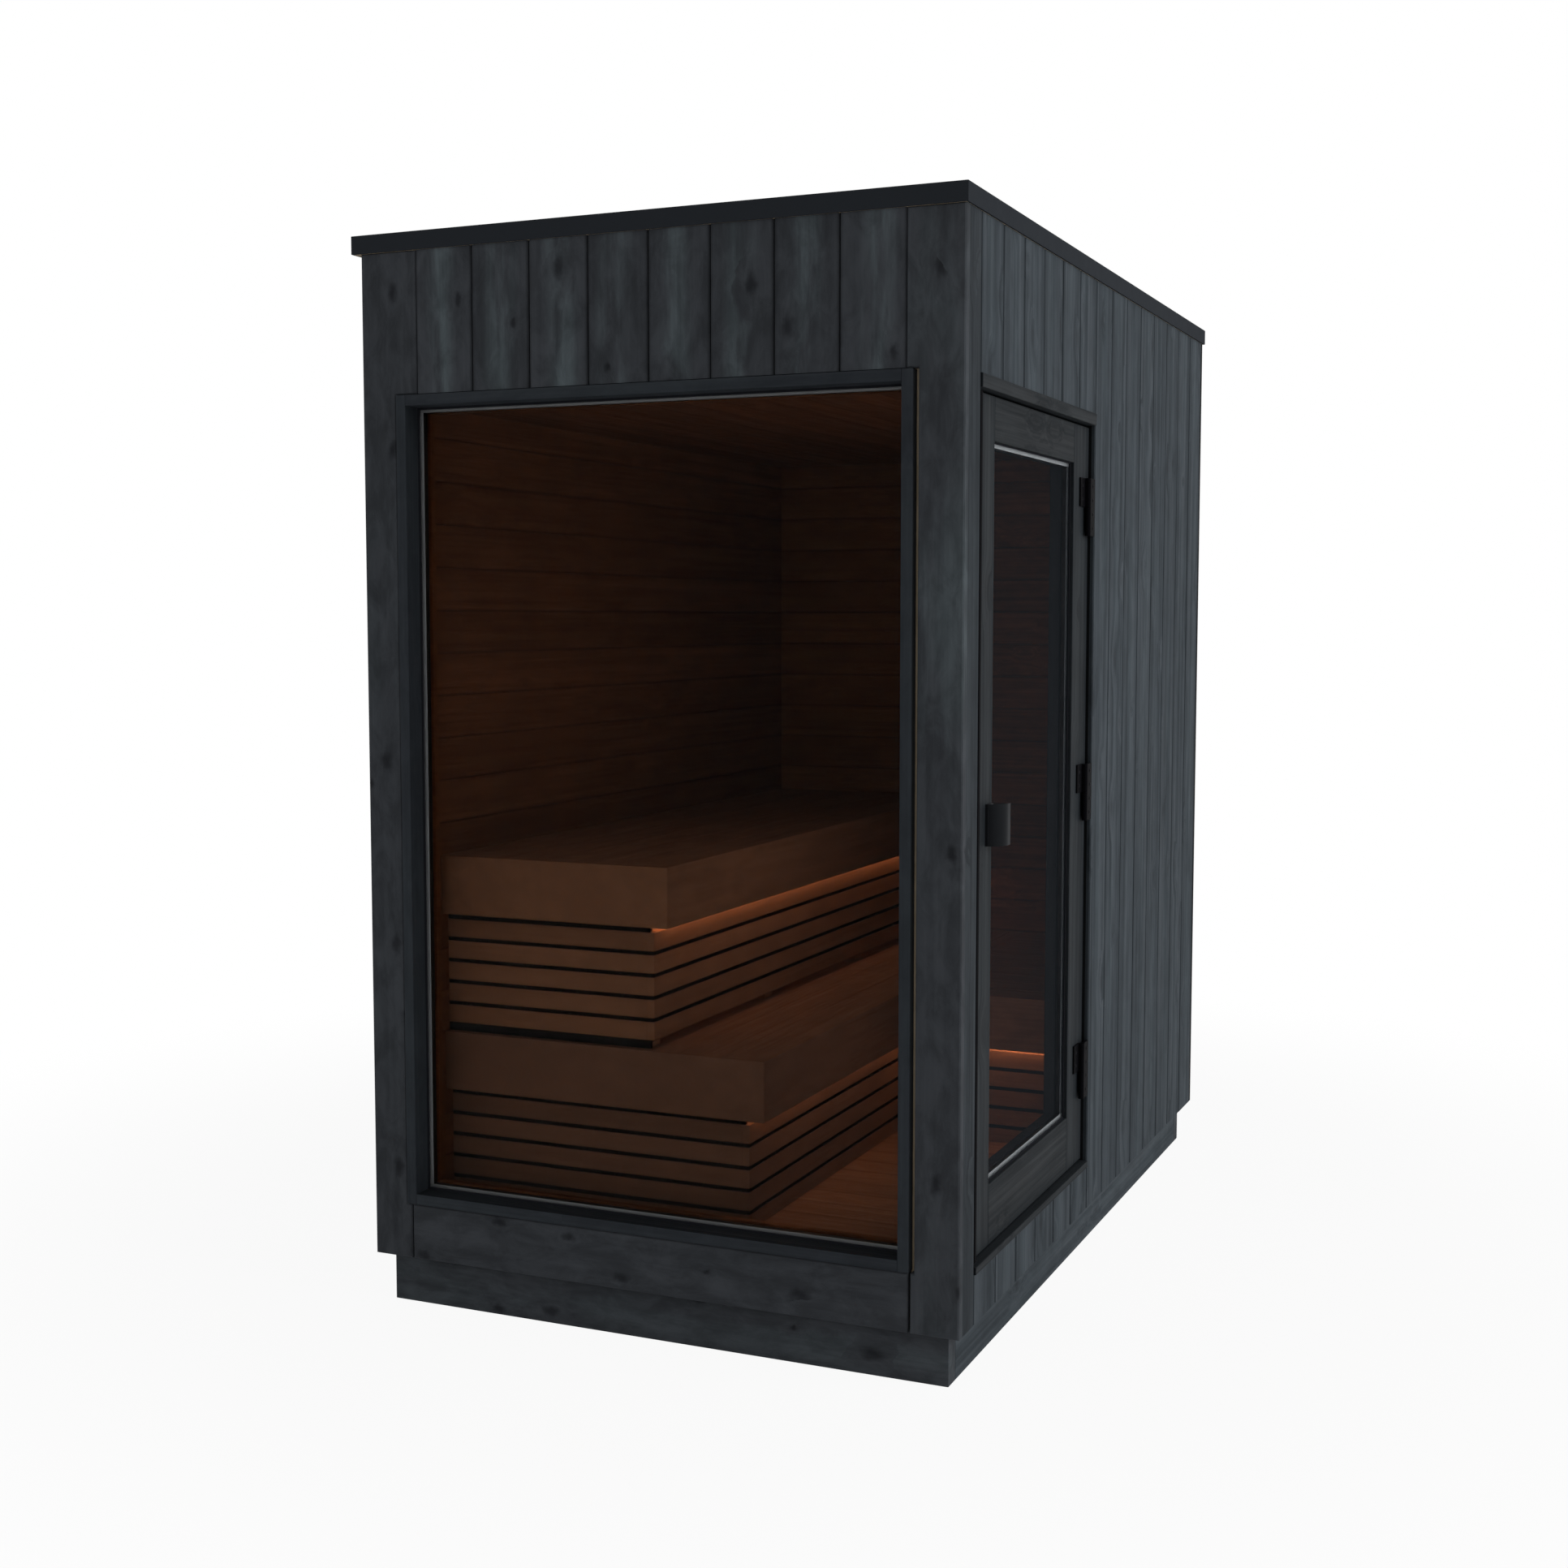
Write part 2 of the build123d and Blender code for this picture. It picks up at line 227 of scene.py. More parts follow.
def vector(tree, x=0.0, y=0.0, z=0.0):
    return output(tree, "ShaderNodeCombineXYZ", {0: x, 1: y, 2: z})


def split(tree, socket):
    """The x, y and z of a vector."""
    return add(tree, "ShaderNodeSeparateXYZ", {0: socket}).outputs


def mix_colours(tree, factor, a, b, blend="MIX"):
    node = add(tree, "ShaderNodeMix", {0: factor, 6: a, 7: b}, data_type="RGBA",
               blend_type=blend)
    return node.outputs[2]


def shaded(tree, colour, value):
    """A colour made lighter or darker by a value."""
    grey = output(tree, "ShaderNodeCombineColor", {0: value, 1: value, 2: value})
    return mix_colours(tree, 1.0, colour, grey, blend="MULTIPLY")


def ramp(tree, value, low, high):
    """0 below low, 1 above high, and smooth between."""
    return output(tree, "ShaderNodeMapRange", {
        "Value": value, "From Min": low, "From Max": high}, interpolation_type="SMOOTHSTEP")


def fade(tree, value, low, high):
    """1 below low, 0 above high, and smooth between."""
    return minus(tree, 1.0, ramp(tree, value, low, high))


def new_group(name, kind, inputs, outputs):
    """An empty node group with named sockets; each input is name: (socket kind, default)."""
    tree = bpy.data.node_groups.new(name, kind)
    for socket_name, (socket_kind, default) in inputs.items():
        socket = tree.interface.new_socket(socket_name, in_out="INPUT", socket_type=socket_kind)
        if default is not None:
            socket.default_value = default
    for socket_name, socket_kind in outputs.items():
        tree.interface.new_socket(socket_name, in_out="OUTPUT", socket_type=socket_kind)
    return tree, tree.nodes.new("NodeGroupInput").outputs, tree.nodes.new("NodeGroupOutput")


# Shared effects
def make_wood_grain():
    """Grain, a lighter smear, blotches and knots, and painted shade along a board's edges and
    down in its grooves. The grain runs along the vector's x. Across is -1 to 1 over a board's
    face, and more than 1 down in a groove."""
    tree, given, out = new_group("wood_grain", "ShaderNodeTree", {
        "Vector": ("NodeSocketVector", None),
        "Board": ("NodeSocketFloat", 0.0),
        "Across": ("NodeSocketFloat", 0.0),
        "Dark": ("NodeSocketColor", (0.02, 0.02, 0.02, 1)),
        "Light": ("NodeSocketColor", (0.05, 0.05, 0.05, 1)),
        "Smear": ("NodeSocketColor", (0.06, 0.08, 0.08, 1)),
        "Knot": ("NodeSocketColor", (0.01, 0.01, 0.01, 1)),
        "Streaks": ("NodeSocketFloat", 1.0),
        "Fine Share": ("NodeSocketFloat", 0.5),
        "Smear Amount": ("NodeSocketFloat", 0.5),
        "Mottle": ("NodeSocketFloat", 0.3),
        "Knot Amount": ("NodeSocketFloat", 1.0),
        "Board Contrast": ("NodeSocketFloat", 0.3),
    }, {"Color": "NodeSocketColor", "Grain": "NodeSocketFloat", "Height": "NodeSocketFloat"})
    board_shift = (37.0, 11.0, 23.0)
    knot_cells = (5.5, 9.0)
    knot_wobble = (0.16, 0.16, 0.0)
    plain_cells = 0.62
    smallest_knot = 0.5
    knot_core = (0.02, 0.14)
    knot_halo = (0.06, 0.42)
    bend_round_knots = 0.03
    fine_lines = (2.2, 120.0, 120.0)
    wide_bands = (0.8, 34.0, 34.0)
    middling = (0.32, 0.68)
    slow_change = (1.1, 0.3, 0.3)
    smear_wander = 1.6
    smear_half_width = (0.1, 0.7)
    smear_clouds = (2.0, 14.0, 14.0)
    clouds_seen = (0.38, 0.62)
    smear_on_lines, smear_between = 0.9, 0.4
    clear_round_knots = 0.8
    blotch_size = (9.0, 20.0, 20.0)
    # Painted shade: where and how much the chamfered edges and the groove floors are darkened
    edge_shade_place, edge_shade_amount = (0.88, 1.0), 0.35
    groove, groove_shade_amount = (1.02, 1.3), 0.9
    grain_height, knot_depth = 0.6, 0.5

    def noise(source, scale, detail, roughness, distortion):
        place = output(tree, "ShaderNodeMapping", {"Vector": source, "Scale": scale})
        return output(tree, "ShaderNodeTexNoise", {
            "Vector": place, "Scale": 1.0, "Detail": detail, "Roughness": roughness,
            "Distortion": distortion})

    def round_one(value, amount):
        """A value from 0 to 1 made one round 1, with a spread of the amount."""
        return plus(tree, times(tree, minus(tree, value, 0.5), amount), 1.0)

    def darker(value, place, amount):
        """1 below the place, and less by the amount above it."""
        return minus(tree, 1.0, times(tree, ramp(tree, value, *place), amount))

    # Each board takes its grain from another place
    shift = vector(tree, *[times(tree, given["Board"], far) for far in board_shift])
    place = output(tree, "ShaderNodeVectorMath", {0: given["Vector"], 1: shift},
                   operation="ADD")

    # Knots: cells on the board's face, a share of them with a knot
    x, y, z = split(tree, place)
    flat = vector(tree, times(tree, x, knot_cells[0]),
                  times(tree, plus(tree, y, z), knot_cells[1]))
    wobble = add(tree, "ShaderNodeTexNoise", {"Vector": place, "Scale": 45.0, "Detail": 3.0})
    flat = output(tree, "ShaderNodeVectorMath", {
        0: wobble.outputs["Color"], 1: knot_wobble, 2: flat}, operation="MULTIPLY_ADD")
    cells = add(tree, "ShaderNodeTexVoronoi", {"Vector": flat, "Scale": 1.0, "Randomness": 1.0},
                voronoi_dimensions="2D", feature="F1")
    picks = add(tree, "ShaderNodeSeparateColor", {"Color": cells.outputs["Color"]}).outputs
    chosen = above(tree, picks[0], plain_cells)
    distance = over(tree, cells.outputs["Distance"], plus(tree, smallest_knot, picks[1]))
    knot = times(tree, fade(tree, distance, *knot_core), chosen)
    knot = times(tree, knot, given["Knot Amount"], clamp=True)
    halo = times(tree, fade(tree, distance, *knot_halo), chosen)

    # Fine lines and wider bands, which bend round the knots
    bend = vector(tree, y=times(tree, halo, bend_round_knots))
    bent = output(tree, "ShaderNodeVectorMath", {0: place, 1: bend}, operation="ADD")
    lines = noise(bent, fine_lines, detail=5.0, roughness=0.65, distortion=0.12)
    bands = noise(bent, wide_bands, detail=3.0, roughness=0.6, distortion=0.15)
    grain = plus(tree, times(tree, lines, given["Fine Share"]),
                 times(tree, bands, minus(tree, 1.0, given["Fine Share"])))
    grain = ramp(tree, grain, *middling)
    strength = plus(tree, times(tree, minus(tree, grain, 0.5), given["Streaks"]), 0.5)

    # A lighter smear along the middle of a board, wandering a little, and broken by knots:
    # painted sheen on the black timber, uneven stain on the rest
    wander = noise(place, slow_change, detail=1.0, roughness=0.5, distortion=0.0)
    wander = times(tree, minus(tree, wander, 0.5), smear_wander)
    beside = unsigned(tree, minus(tree, given["Across"], wander))
    cloud = noise(bent, smear_clouds, detail=5.0, roughness=0.6, distortion=0.3)
    cloud = ramp(tree, cloud, *clouds_seen)
    cloud = times(tree, cloud, plus(tree, times(tree, lines, smear_on_lines), smear_between))
    smear = times(tree, cloud, fade(tree, beside, *smear_half_width))
    smear = times(tree, smear, minus(tree, 1.0, times(tree, halo, clear_round_knots)))
    smear = times(tree, smear, given["Smear Amount"], clamp=True)

    # Blotches, the board's own tone, and painted shade along the board's edges and down in the
    # grooves
    blotch = noise(place, blotch_size, detail=5.0, roughness=0.62, distortion=0.5)
    blotch = round_one(ramp(tree, blotch, *middling), given["Mottle"])
    own = add(tree, "ShaderNodeTexWhiteNoise", {"W": given["Board"]},
              noise_dimensions="1D").outputs["Value"]
    tone = round_one(own, given["Board Contrast"])
    off_middle = unsigned(tree, given["Across"])
    painted_edge_and_groove_shade = times(tree, darker(off_middle, edge_shade_place, edge_shade_amount),
                 darker(off_middle, groove, groove_shade_amount))
    value = times(tree, times(tree, blotch, tone), painted_edge_and_groove_shade)

    colour = mix_colours(tree, strength, given["Dark"], given["Light"])
    colour = mix_colours(tree, smear, colour, given["Smear"])
    colour = mix_colours(tree, knot, colour, given["Knot"])
    height = minus(tree, times(tree, grain, grain_height), times(tree, knot, knot_depth))
    join(tree, out, {"Color": shaded(tree, colour, value), "Grain": grain, "Height": height})
    return tree


def make_course_number():
    """A number of its own for each slat, counted along one axis, and the shadow along its
    edges, as a place across the slat: 0 on its face and more than 1 at its edges."""
    tree, given, out = new_group("course_number", "ShaderNodeTree", {
        "Place": ("NodeSocketFloat", 0.0),
        "Start": ("NodeSocketFloat", 0.0),
        "Pitch": ("NodeSocketFloat", 0.05),
        "Slat": ("NodeSocketFloat", 0.042),
        "Shadow": ("NodeSocketFloat", 0.001),
        "Top": ("NodeSocketFloat", 1.0),
    }, {"Number": "NodeSocketFloat", "Across": "NodeSocketFloat"})
    number_step = 0.137
    full_shadow = 0.4
    shadow_across = 1.3
    from_start = minus(tree, given["Place"], given["Start"])
    courses = over(tree, from_start, given["Pitch"])
    number = math_node(tree, "FLOOR", courses)
    off_middle = unsigned(tree, minus(tree, minus(tree, courses, number), 0.5))
    off_middle = times(tree, off_middle, given["Pitch"])
    half = times(tree, given["Slat"], 0.5)
    begins = minus(tree, half, given["Shadow"])
    full = minus(tree, half, times(tree, given["Shadow"], full_shadow))
    under_top = math_node(tree, "LESS_THAN", given["Place"],
                          minus(tree, given["Top"], given["Shadow"]))
    edge = times(tree, ramp(tree, off_middle, begins, full), under_top)
    join(tree, out, {"Number": times(tree, number, number_step),
                     "Across": times(tree, edge, shadow_across)})
    return tree


def make_dust():
    """Soft uneven patches, for powder coat, felt and glass."""
    tree, given, out = new_group("dust", "ShaderNodeTree", {
        "Vector": ("NodeSocketVector", None),
        "Scale": ("NodeSocketFloat", 20.0),
        "Low": ("NodeSocketFloat", 0.4),
        "High": ("NodeSocketFloat", 0.6),
    }, {"Value": "NodeSocketFloat"})
    noise = output(tree, "ShaderNodeTexNoise", {
        "Vector": given["Vector"], "Scale": given["Scale"], "Detail": 4.0, "Roughness": 0.6})
    spread = minus(tree, given["High"], given["Low"])
    join(tree, out, {"Value": plus(tree, times(tree, noise, spread), given["Low"])})
    return tree


wood_grain = make_wood_grain()
course_number = make_course_number()
dust = make_dust()


# Materials
def new_material(name):
    """A material, its tree and shader, and the object's own coordinates."""
    material = bpy.data.materials.new(name)
    material.use_nodes = True
    tree = material.node_tree
    place = add(tree, "ShaderNodeTexCoord").outputs["Object"]
    return material, tree, tree.nodes["Principled BSDF"], place


def use_group(tree, group, inputs):
    return add(tree, "ShaderNodeGroup", inputs, node_tree=group).outputs


def patches(tree, place, scale, low, high):
    """A value that wanders softly from low to high."""
    return use_group(tree, dust, {"Vector": place, "Scale": scale, "Low": low,
                                  "High": high})["Value"]


def rgb(red, green, blue):
    return (red, green, blue, 1.0)


TURN_TO_X = {"x": (0, 0, 0), "y": (0, 0, -math.pi / 2), "z": (0, math.pi / 2, 0)}


def wood(name, along, colours, roughness=(0.72, 0.9), courses=None, streaks=1.0, fine=0.5,
         smear=0.4, mottle=0.3, knots=0.5, contrast=0.3, bump=0.25, share_kept_in_top_shade=1.0):
    """Timber whose grain runs along one axis; courses is (axis, start, pitch, top), and
    the last argument the share of its colour that faces turned up keep, as painted shade."""
    material, tree, shader, place = new_material(name)
    turned = output(tree, "ShaderNodeMapping", {"Vector": place, "Rotation": TURN_TO_X[along]},
                    vector_type="POINT")
    if courses:
        axis, start, pitch, top = courses
        course = use_group(tree, course_number, {
            "Place": split(tree, place)[axis], "Start": start, "Pitch": pitch,
            "Slat": pitch - slat_gap, "Shadow": slat_shadow, "Top": top})
        board, across = course["Number"], course["Across"]
    else:
        board, across = [add(tree, "ShaderNodeAttribute", attribute_name=title).outputs["Fac"]
                         for title in ("board", "across")]
    dark, light, smeared, knot = colours
    grain = use_group(tree, wood_grain, {
        "Vector": turned, "Board": board, "Across": across, "Dark": dark, "Light": light,
        "Smear": smeared, "Knot": knot, "Streaks": streaks, "Fine Share": fine,
        "Smear Amount": smear, "Mottle": mottle, "Knot Amount": knots,
        "Board Contrast": contrast})
    colour = grain["Color"]
    # Painted shade on faces turned up
    if share_kept_in_top_shade < 1.0:
        normal = add(tree, "ShaderNodeNewGeometry").outputs["Normal"]
        lying = above(tree, split(tree, normal)[2], 0.5)
        colour = shaded(tree, colour, minus(tree, 1.0, times(tree, lying, 1.0 - share_kept_in_top_shade)))
    low, high = roughness
    rough = plus(tree, times(tree, grain["Grain"], low - high), high)
    relief = output(tree, "ShaderNodeBump", {
        "Height": grain["Height"], "Strength": bump, "Distance": grain_relief})
    join(tree, shader, {"Base Color": colour, "Roughness": rough, "Normal": relief,
                        "Specular IOR Level": 0.1})
    return material


def slats_top(tier):
    """The upper edge of a bench's highest slat."""
    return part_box(tier + "_bench_seat")[0].z - apron_gap


# Timber colours: dark grain, light grain, smear, knot. On the black timber the smear is lighter
# than the grain, as painted sheen
front_stain_and_sheen = (rgb(0.040, 0.044, 0.051), rgb(0.058, 0.064, 0.073), rgb(0.098, 0.122, 0.134),
               rgb(0.013, 0.014, 0.017))
side_stain_and_sheen = (rgb(0.030, 0.037, 0.0435), rgb(0.067, 0.081, 0.095), rgb(0.078, 0.099, 0.113),
              rgb(0.016, 0.018, 0.021))
corner_stain_and_sheen = (rgb(0.0185, 0.022, 0.026), rgb(0.042, 0.050, 0.058), rgb(0.047, 0.060, 0.068),
                rgb(0.012, 0.014, 0.016))
casing_stain_and_sheen = (rgb(0.023, 0.027, 0.033), rgb(0.031, 0.036, 0.043), rgb(0.041, 0.052, 0.058),
                rgb(0.012, 0.013, 0.015))
leaf_stain_and_sheen = (rgb(0.010, 0.012, 0.0145), rgb(0.0165, 0.020, 0.0235), rgb(0.022, 0.029, 0.033),
              rgb(0.006, 0.007, 0.008))
rail_stain_and_sheen = (rgb(0.0075, 0.0095, 0.0115), rgb(0.0125, 0.0155, 0.0185),
              rgb(0.017, 0.022, 0.025), rgb(0.005, 0.006, 0.007))
lining_brown = (rgb(0.137, 0.049, 0.0195), rgb(0.246, 0.093, 0.036), rgb(0.182, 0.067, 0.026),
                rgb(0.046, 0.018, 0.009))
bench_brown = (rgb(0.260, 0.118, 0.058), rgb(0.360, 0.172, 0.088), rgb(0.310, 0.140, 0.068),
               rgb(0.110, 0.048, 0.025))
# The upper bench's browns at about seven tenths, as painted shade on the lower bench
lower_brown_in_painted_shade = (rgb(0.180, 0.088, 0.050), rgb(0.254, 0.130, 0.076), rgb(0.217, 0.108, 0.060),
               rgb(0.085, 0.040, 0.024))
floor_brown = (rgb(0.205, 0.094, 0.049), rgb(0.320, 0.164, 0.090), rgb(0.246, 0.119, 0.062),
               rgb(0.096, 0.043, 0.024))
raw_pine = (rgb(0.46, 0.36, 0.24), rgb(0.62, 0.52, 0.38), rgb(0.50, 0.40, 0.28),
            rgb(0.22, 0.13, 0.07))

mottled = dict(streaks=0.35, fine=0.35, smear=0.95, mottle=0.45, knots=0.8, contrast=0.16)
plain_mottled = dict(mottled, smear=0.35)
streaky = dict(streaks=0.75, fine=0.3, smear=0.4, mottle=0.25, knots=0.3, contrast=0.16)
front_boards_wood = wood("black_boards_front", "z", front_stain_and_sheen, **mottled)
front_panel_wood = wood("black_boards_lying", "x", front_stain_and_sheen, **plain_mottled)
side_boards_wood = wood("black_boards_sides", "z", side_stain_and_sheen, **streaky)
corner_board_wood = wood("black_board_corner", "z", corner_stain_and_sheen, **streaky)
side_plinth_wood = wood("black_boards_plinth", "y", side_stain_and_sheen, **streaky)
smooth = dict(roughness=(0.6, 0.8), streaks=0.6, smear=0.25, mottle=0.25, knots=0.2, bump=0.12)
casing_upright = wood("black_casing_upright", "z", casing_stain_and_sheen, **smooth)
casing_lying = wood("black_casing_lying", "x", casing_stain_and_sheen, **smooth)
# The sill's top is darkened as painted shade
sill_with_shaded_top = wood("black_sill_shaded_top", "x", casing_stain_and_sheen, share_kept_in_top_shade=0.3, **smooth)
leaf_upright = wood("black_door_upright", "z", leaf_stain_and_sheen, **smooth)
leaf_lying = wood("black_door_lying", "y", rail_stain_and_sheen, **smooth)
inside = dict(roughness=(0.55, 0.75), streaks=0.8, fine=0.6, smear=0.3, mottle=0.25, knots=0.2)
lining_x = wood("lining_along_x", "x", lining_brown, **inside)
lining_y = wood("lining_along_y", "y", lining_brown, **inside)
planed = dict(roughness=(0.5, 0.68), streaks=0.6, fine=0.7, smear=0.2, mottle=0.18, knots=0.12,
              bump=0.12, contrast=0.18)
floor_x = wood("floor_along_x", "x", floor_brown, **planed)
raw_timber = wood("raw_timber", "z", raw_pine)
bench_wood = {}
for tier, brown in (("upper", bench_brown), ("lower", lower_brown_in_painted_shade)):
    lowest = slats_top(tier) + slat_gap / 2 - slat_count * slat_pitch
    for along in ("x", "y"):
        bench_wood[tier, "seat", along] = wood(tier + "_seat_along_" + along, along, brown,
                                               **planed)
        bench_wood[tier, "slats", along] = wood(
            tier + "_slats_along_" + along, along, brown,
            courses=("Z", lowest, slat_pitch, slats_top(tier)), **planed)


def coated(name, colour, roughness, grit=0.0, bump=0.0, specular=0.2):
    """Powder coat, sheet or felt: an even colour with soft changes of gloss."""
    material, tree, shader, place = new_material(name)
    speck = patches(tree, place, grit_scale, 1.0 - grit, 1.0 + grit)
    relief = output(tree, "ShaderNodeBump", {
        "Height": speck, "Strength": bump, "Distance": grit_relief})
    join(tree, shader, {"Base Color": shaded(tree, colour, speck), "Normal": relief,
                        "Roughness": patches(tree, place, patch_scale, *roughness),
                        "Specular IOR Level": specular})
    return material


trim_coat = coated("roof_trim_coat", rgb(0.027, 0.031, 0.037), (0.7, 0.85), grit=0.15, bump=0.1,
                   specular=0.03)
hinge_coat = coated("hinge_coat", rgb(0.004, 0.004, 0.005), (0.45, 0.6), grit=0.1, bump=0.08,
                    specular=0.01)
handle_coat = coated("handle_coat", rgb(0.014, 0.0155, 0.018), (0.4, 0.55), grit=0.1, bump=0.08,
                     specular=0.04)
felt = coated("roof_felt", rgb(0.045, 0.047, 0.050), (0.75, 0.95), grit=0.6, bump=0.8)
seal_grey = coated("glazing_seal", rgb(0.020, 0.021, 0.026), (0.6, 0.75), specular=0.01)
# Painted shadow: the black of the lip on the door's closing edge
shadow_lip_rubber = coated("shadow_lip_gasket", rgb(0.005, 0.005, 0.006), (0.6, 0.75), specular=0.01)
# Painted shadow for the strips in the bench skirts' gaps
gap_shadow_paint = coated("shadow_gap_paint", rgb(0.008, 0.005, 0.004), (0.8, 0.9), specular=0.0)
screw_metal = coated("screw_metal", rgb(0.012, 0.012, 0.014), (0.45, 0.6), specular=0.03)


def spacer(name, node, axis, out_side, lying, upright, hidden):
    """The bars between two panes, in lit and shaded copies of one metal as painted light: one
    colour for the bars at the top and the bottom, another for the sides, and dark behind their
    outer faces."""
    material, tree, shader, place = new_material(name)
    low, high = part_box(node)
    middle, half = (low + high) / 2, (high - low) / 2
    parts = split(tree, place)
    from_middle = unsigned(tree, minus(tree, parts[2], middle.z))
    top_and_bottom_bars = above(tree, from_middle, half.z - glass_bite - spacer_sight)
    colour = mix_colours(tree, top_and_bottom_bars, upright, lying)
    outward = times(tree, minus(tree, parts[axis], middle[axis]), out_side)
    face = above(tree, outward, half[axis] - 3 * spacer_clearance)
    join(tree, shader, {"Base Color": mix_colours(tree, face, hidden, colour),
                        "Roughness": patches(tree, place, patch_scale, 0.4, 0.55),
                        "Metallic": 0.4, "Specular IOR Level": 0.1})
    return material


# Painted light: lying is the colour of the top and bottom bars, upright that of the sides
window_spacer_metal = spacer("window_spacer_metal", "window_spacer", axis=1, out_side=-1,
                             lying=rgb(0.118, 0.120, 0.122), upright=rgb(0.158, 0.159, 0.166),
                             hidden=rgb(0.012, 0.010, 0.009))
door_spacer_metal = spacer("door_spacer_metal", "door_spacer", axis=0, out_side=1,
                           lying=rgb(0.285, 0.297, 0.312), upright=rgb(0.060, 0.064, 0.070),
                           hidden=rgb(0.010, 0.010, 0.011))
clear_pane = rgb(0.97, 0.98, 0.98)
# The colour of the glass's glow, a painted sheen
painted_sky_sheen = rgb(0.70, 0.85, 1.0)


def make_glass(name, node, axis, out_side, tint, bending, coat, painted_sheen_glow):
    """A sealed unit: the outer pane clear, the inner one tinted, with a faint coat and a faint
    glow of sky colour as painted sheen.
    """
    material, tree, shader, place = new_material(name)
    low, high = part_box(node)
    compare = "GREATER_THAN" if out_side > 0 else "LESS_THAN"
    outer = math_node(tree, compare, split(tree, place)[axis], (low[axis] + high[axis]) / 2)
    inner_tint = shaded(tree, tint, patches(tree, place, glass_patch_scale, 0.96, 1.04))
    join(tree, shader, {"Base Color": mix_colours(tree, outer, inner_tint, clear_pane),
                        "Roughness": 0.0, "Transmission Weight": 1.0, "IOR": bending,
                        "Coat Weight": coat, "Emission Color": painted_sky_sheen,
                        "Emission Strength": painted_sheen_glow})
    return material


window_tint = make_glass("window_tint", "window_glass", axis=1, out_side=-1,
                         tint=rgb(0.455, 0.425, 0.41), bending=1.01, coat=0.02, painted_sheen_glow=0.0)
door_tint = make_glass("door_tint", "door_glass", axis=0, out_side=1,
                       tint=rgb(0.60, 0.54, 0.53), bending=1.0, coat=0.0, painted_sheen_glow=0.0031)


def make_glow():
    """A light strip's diffuser, which shines sideways more than up or down."""
    material, tree, shader, place = new_material("strip_glow")
    normal = add(tree, "ShaderNodeNewGeometry").outputs["Normal"]
    lying = unsigned(tree, split(tree, normal)[2])
    share = minus(tree, 1.0, times(tree, lying, strip_down_loss))
    value = times(tree, patches(tree, place, glow_patch_scale, 0.9, 1.1), share)
    join(tree, shader, {"Emission Color": shaded(tree, rgb(1.0, 0.58, 0.31), value),
                        "Emission Strength": strip_strength,
                        "Base Color": rgb(0.8, 0.6, 0.4)})
    return material


strip_glow = make_glow()


# Parts of the geometry trees
def joined(tree, *parts):
    """Several geometries as one."""
    node = tree.nodes.new("GeometryNodeJoinGeometry")
    for part in parts:
        tree.links.new(part, node.inputs[0])
    return node.outputs[0]


def extruded(tree, mesh, faces, distance):
    """Faces pushed out together; gives the node's outputs Mesh and Top."""
    return add(tree, "GeometryNodeExtrudeMesh", {
        "Mesh": mesh, "Selection": faces, "Offset Scale": distance, "Individual": False},
        mode="FACES").outputs


def scaled(tree, mesh, faces, scale):
    return output(tree, "GeometryNodeScaleElements", {
        "Geometry": mesh, "Selection": faces, "Scale": scale}, domain="FACE")


def noted(tree, geometry, title, value, domain="POINT"):
    """Keeps a value as a named attribute."""
    return output(tree, "GeometryNodeStoreNamedAttribute", {
        "Geometry": geometry, "Name": title, "Value": value}, data_type="FLOAT",
        domain=domain)


def in_a_row(tree, given, mesh, first, step, facing=(0, 0, 0)):
    """As many copies of a mesh as the tree's Count, a step apart."""
    line = output(tree, "GeometryNodeMeshLine", {
        "Count": given["Count"], "Start Location": first, "Offset": step}, mode="OFFSET",
        count_mode="TOTAL")
    return output(tree, "GeometryNodeInstanceOnPoints", {
        "Points": line, "Instance": mesh, "Rotation": facing})


def finish_tree(tree, given, added, out):
    """Joins what a tree adds to the piece, realises it and gives it its material."""
    whole = joined(tree, given["Geometry"], added)
    real = output(tree, "GeometryNodeRealizeInstances", {"Geometry": whole})
    join(tree, out, {"Geometry": output(tree, "GeometryNodeSetMaterial", {
        "Geometry": real, "Material": given["Material"]})})


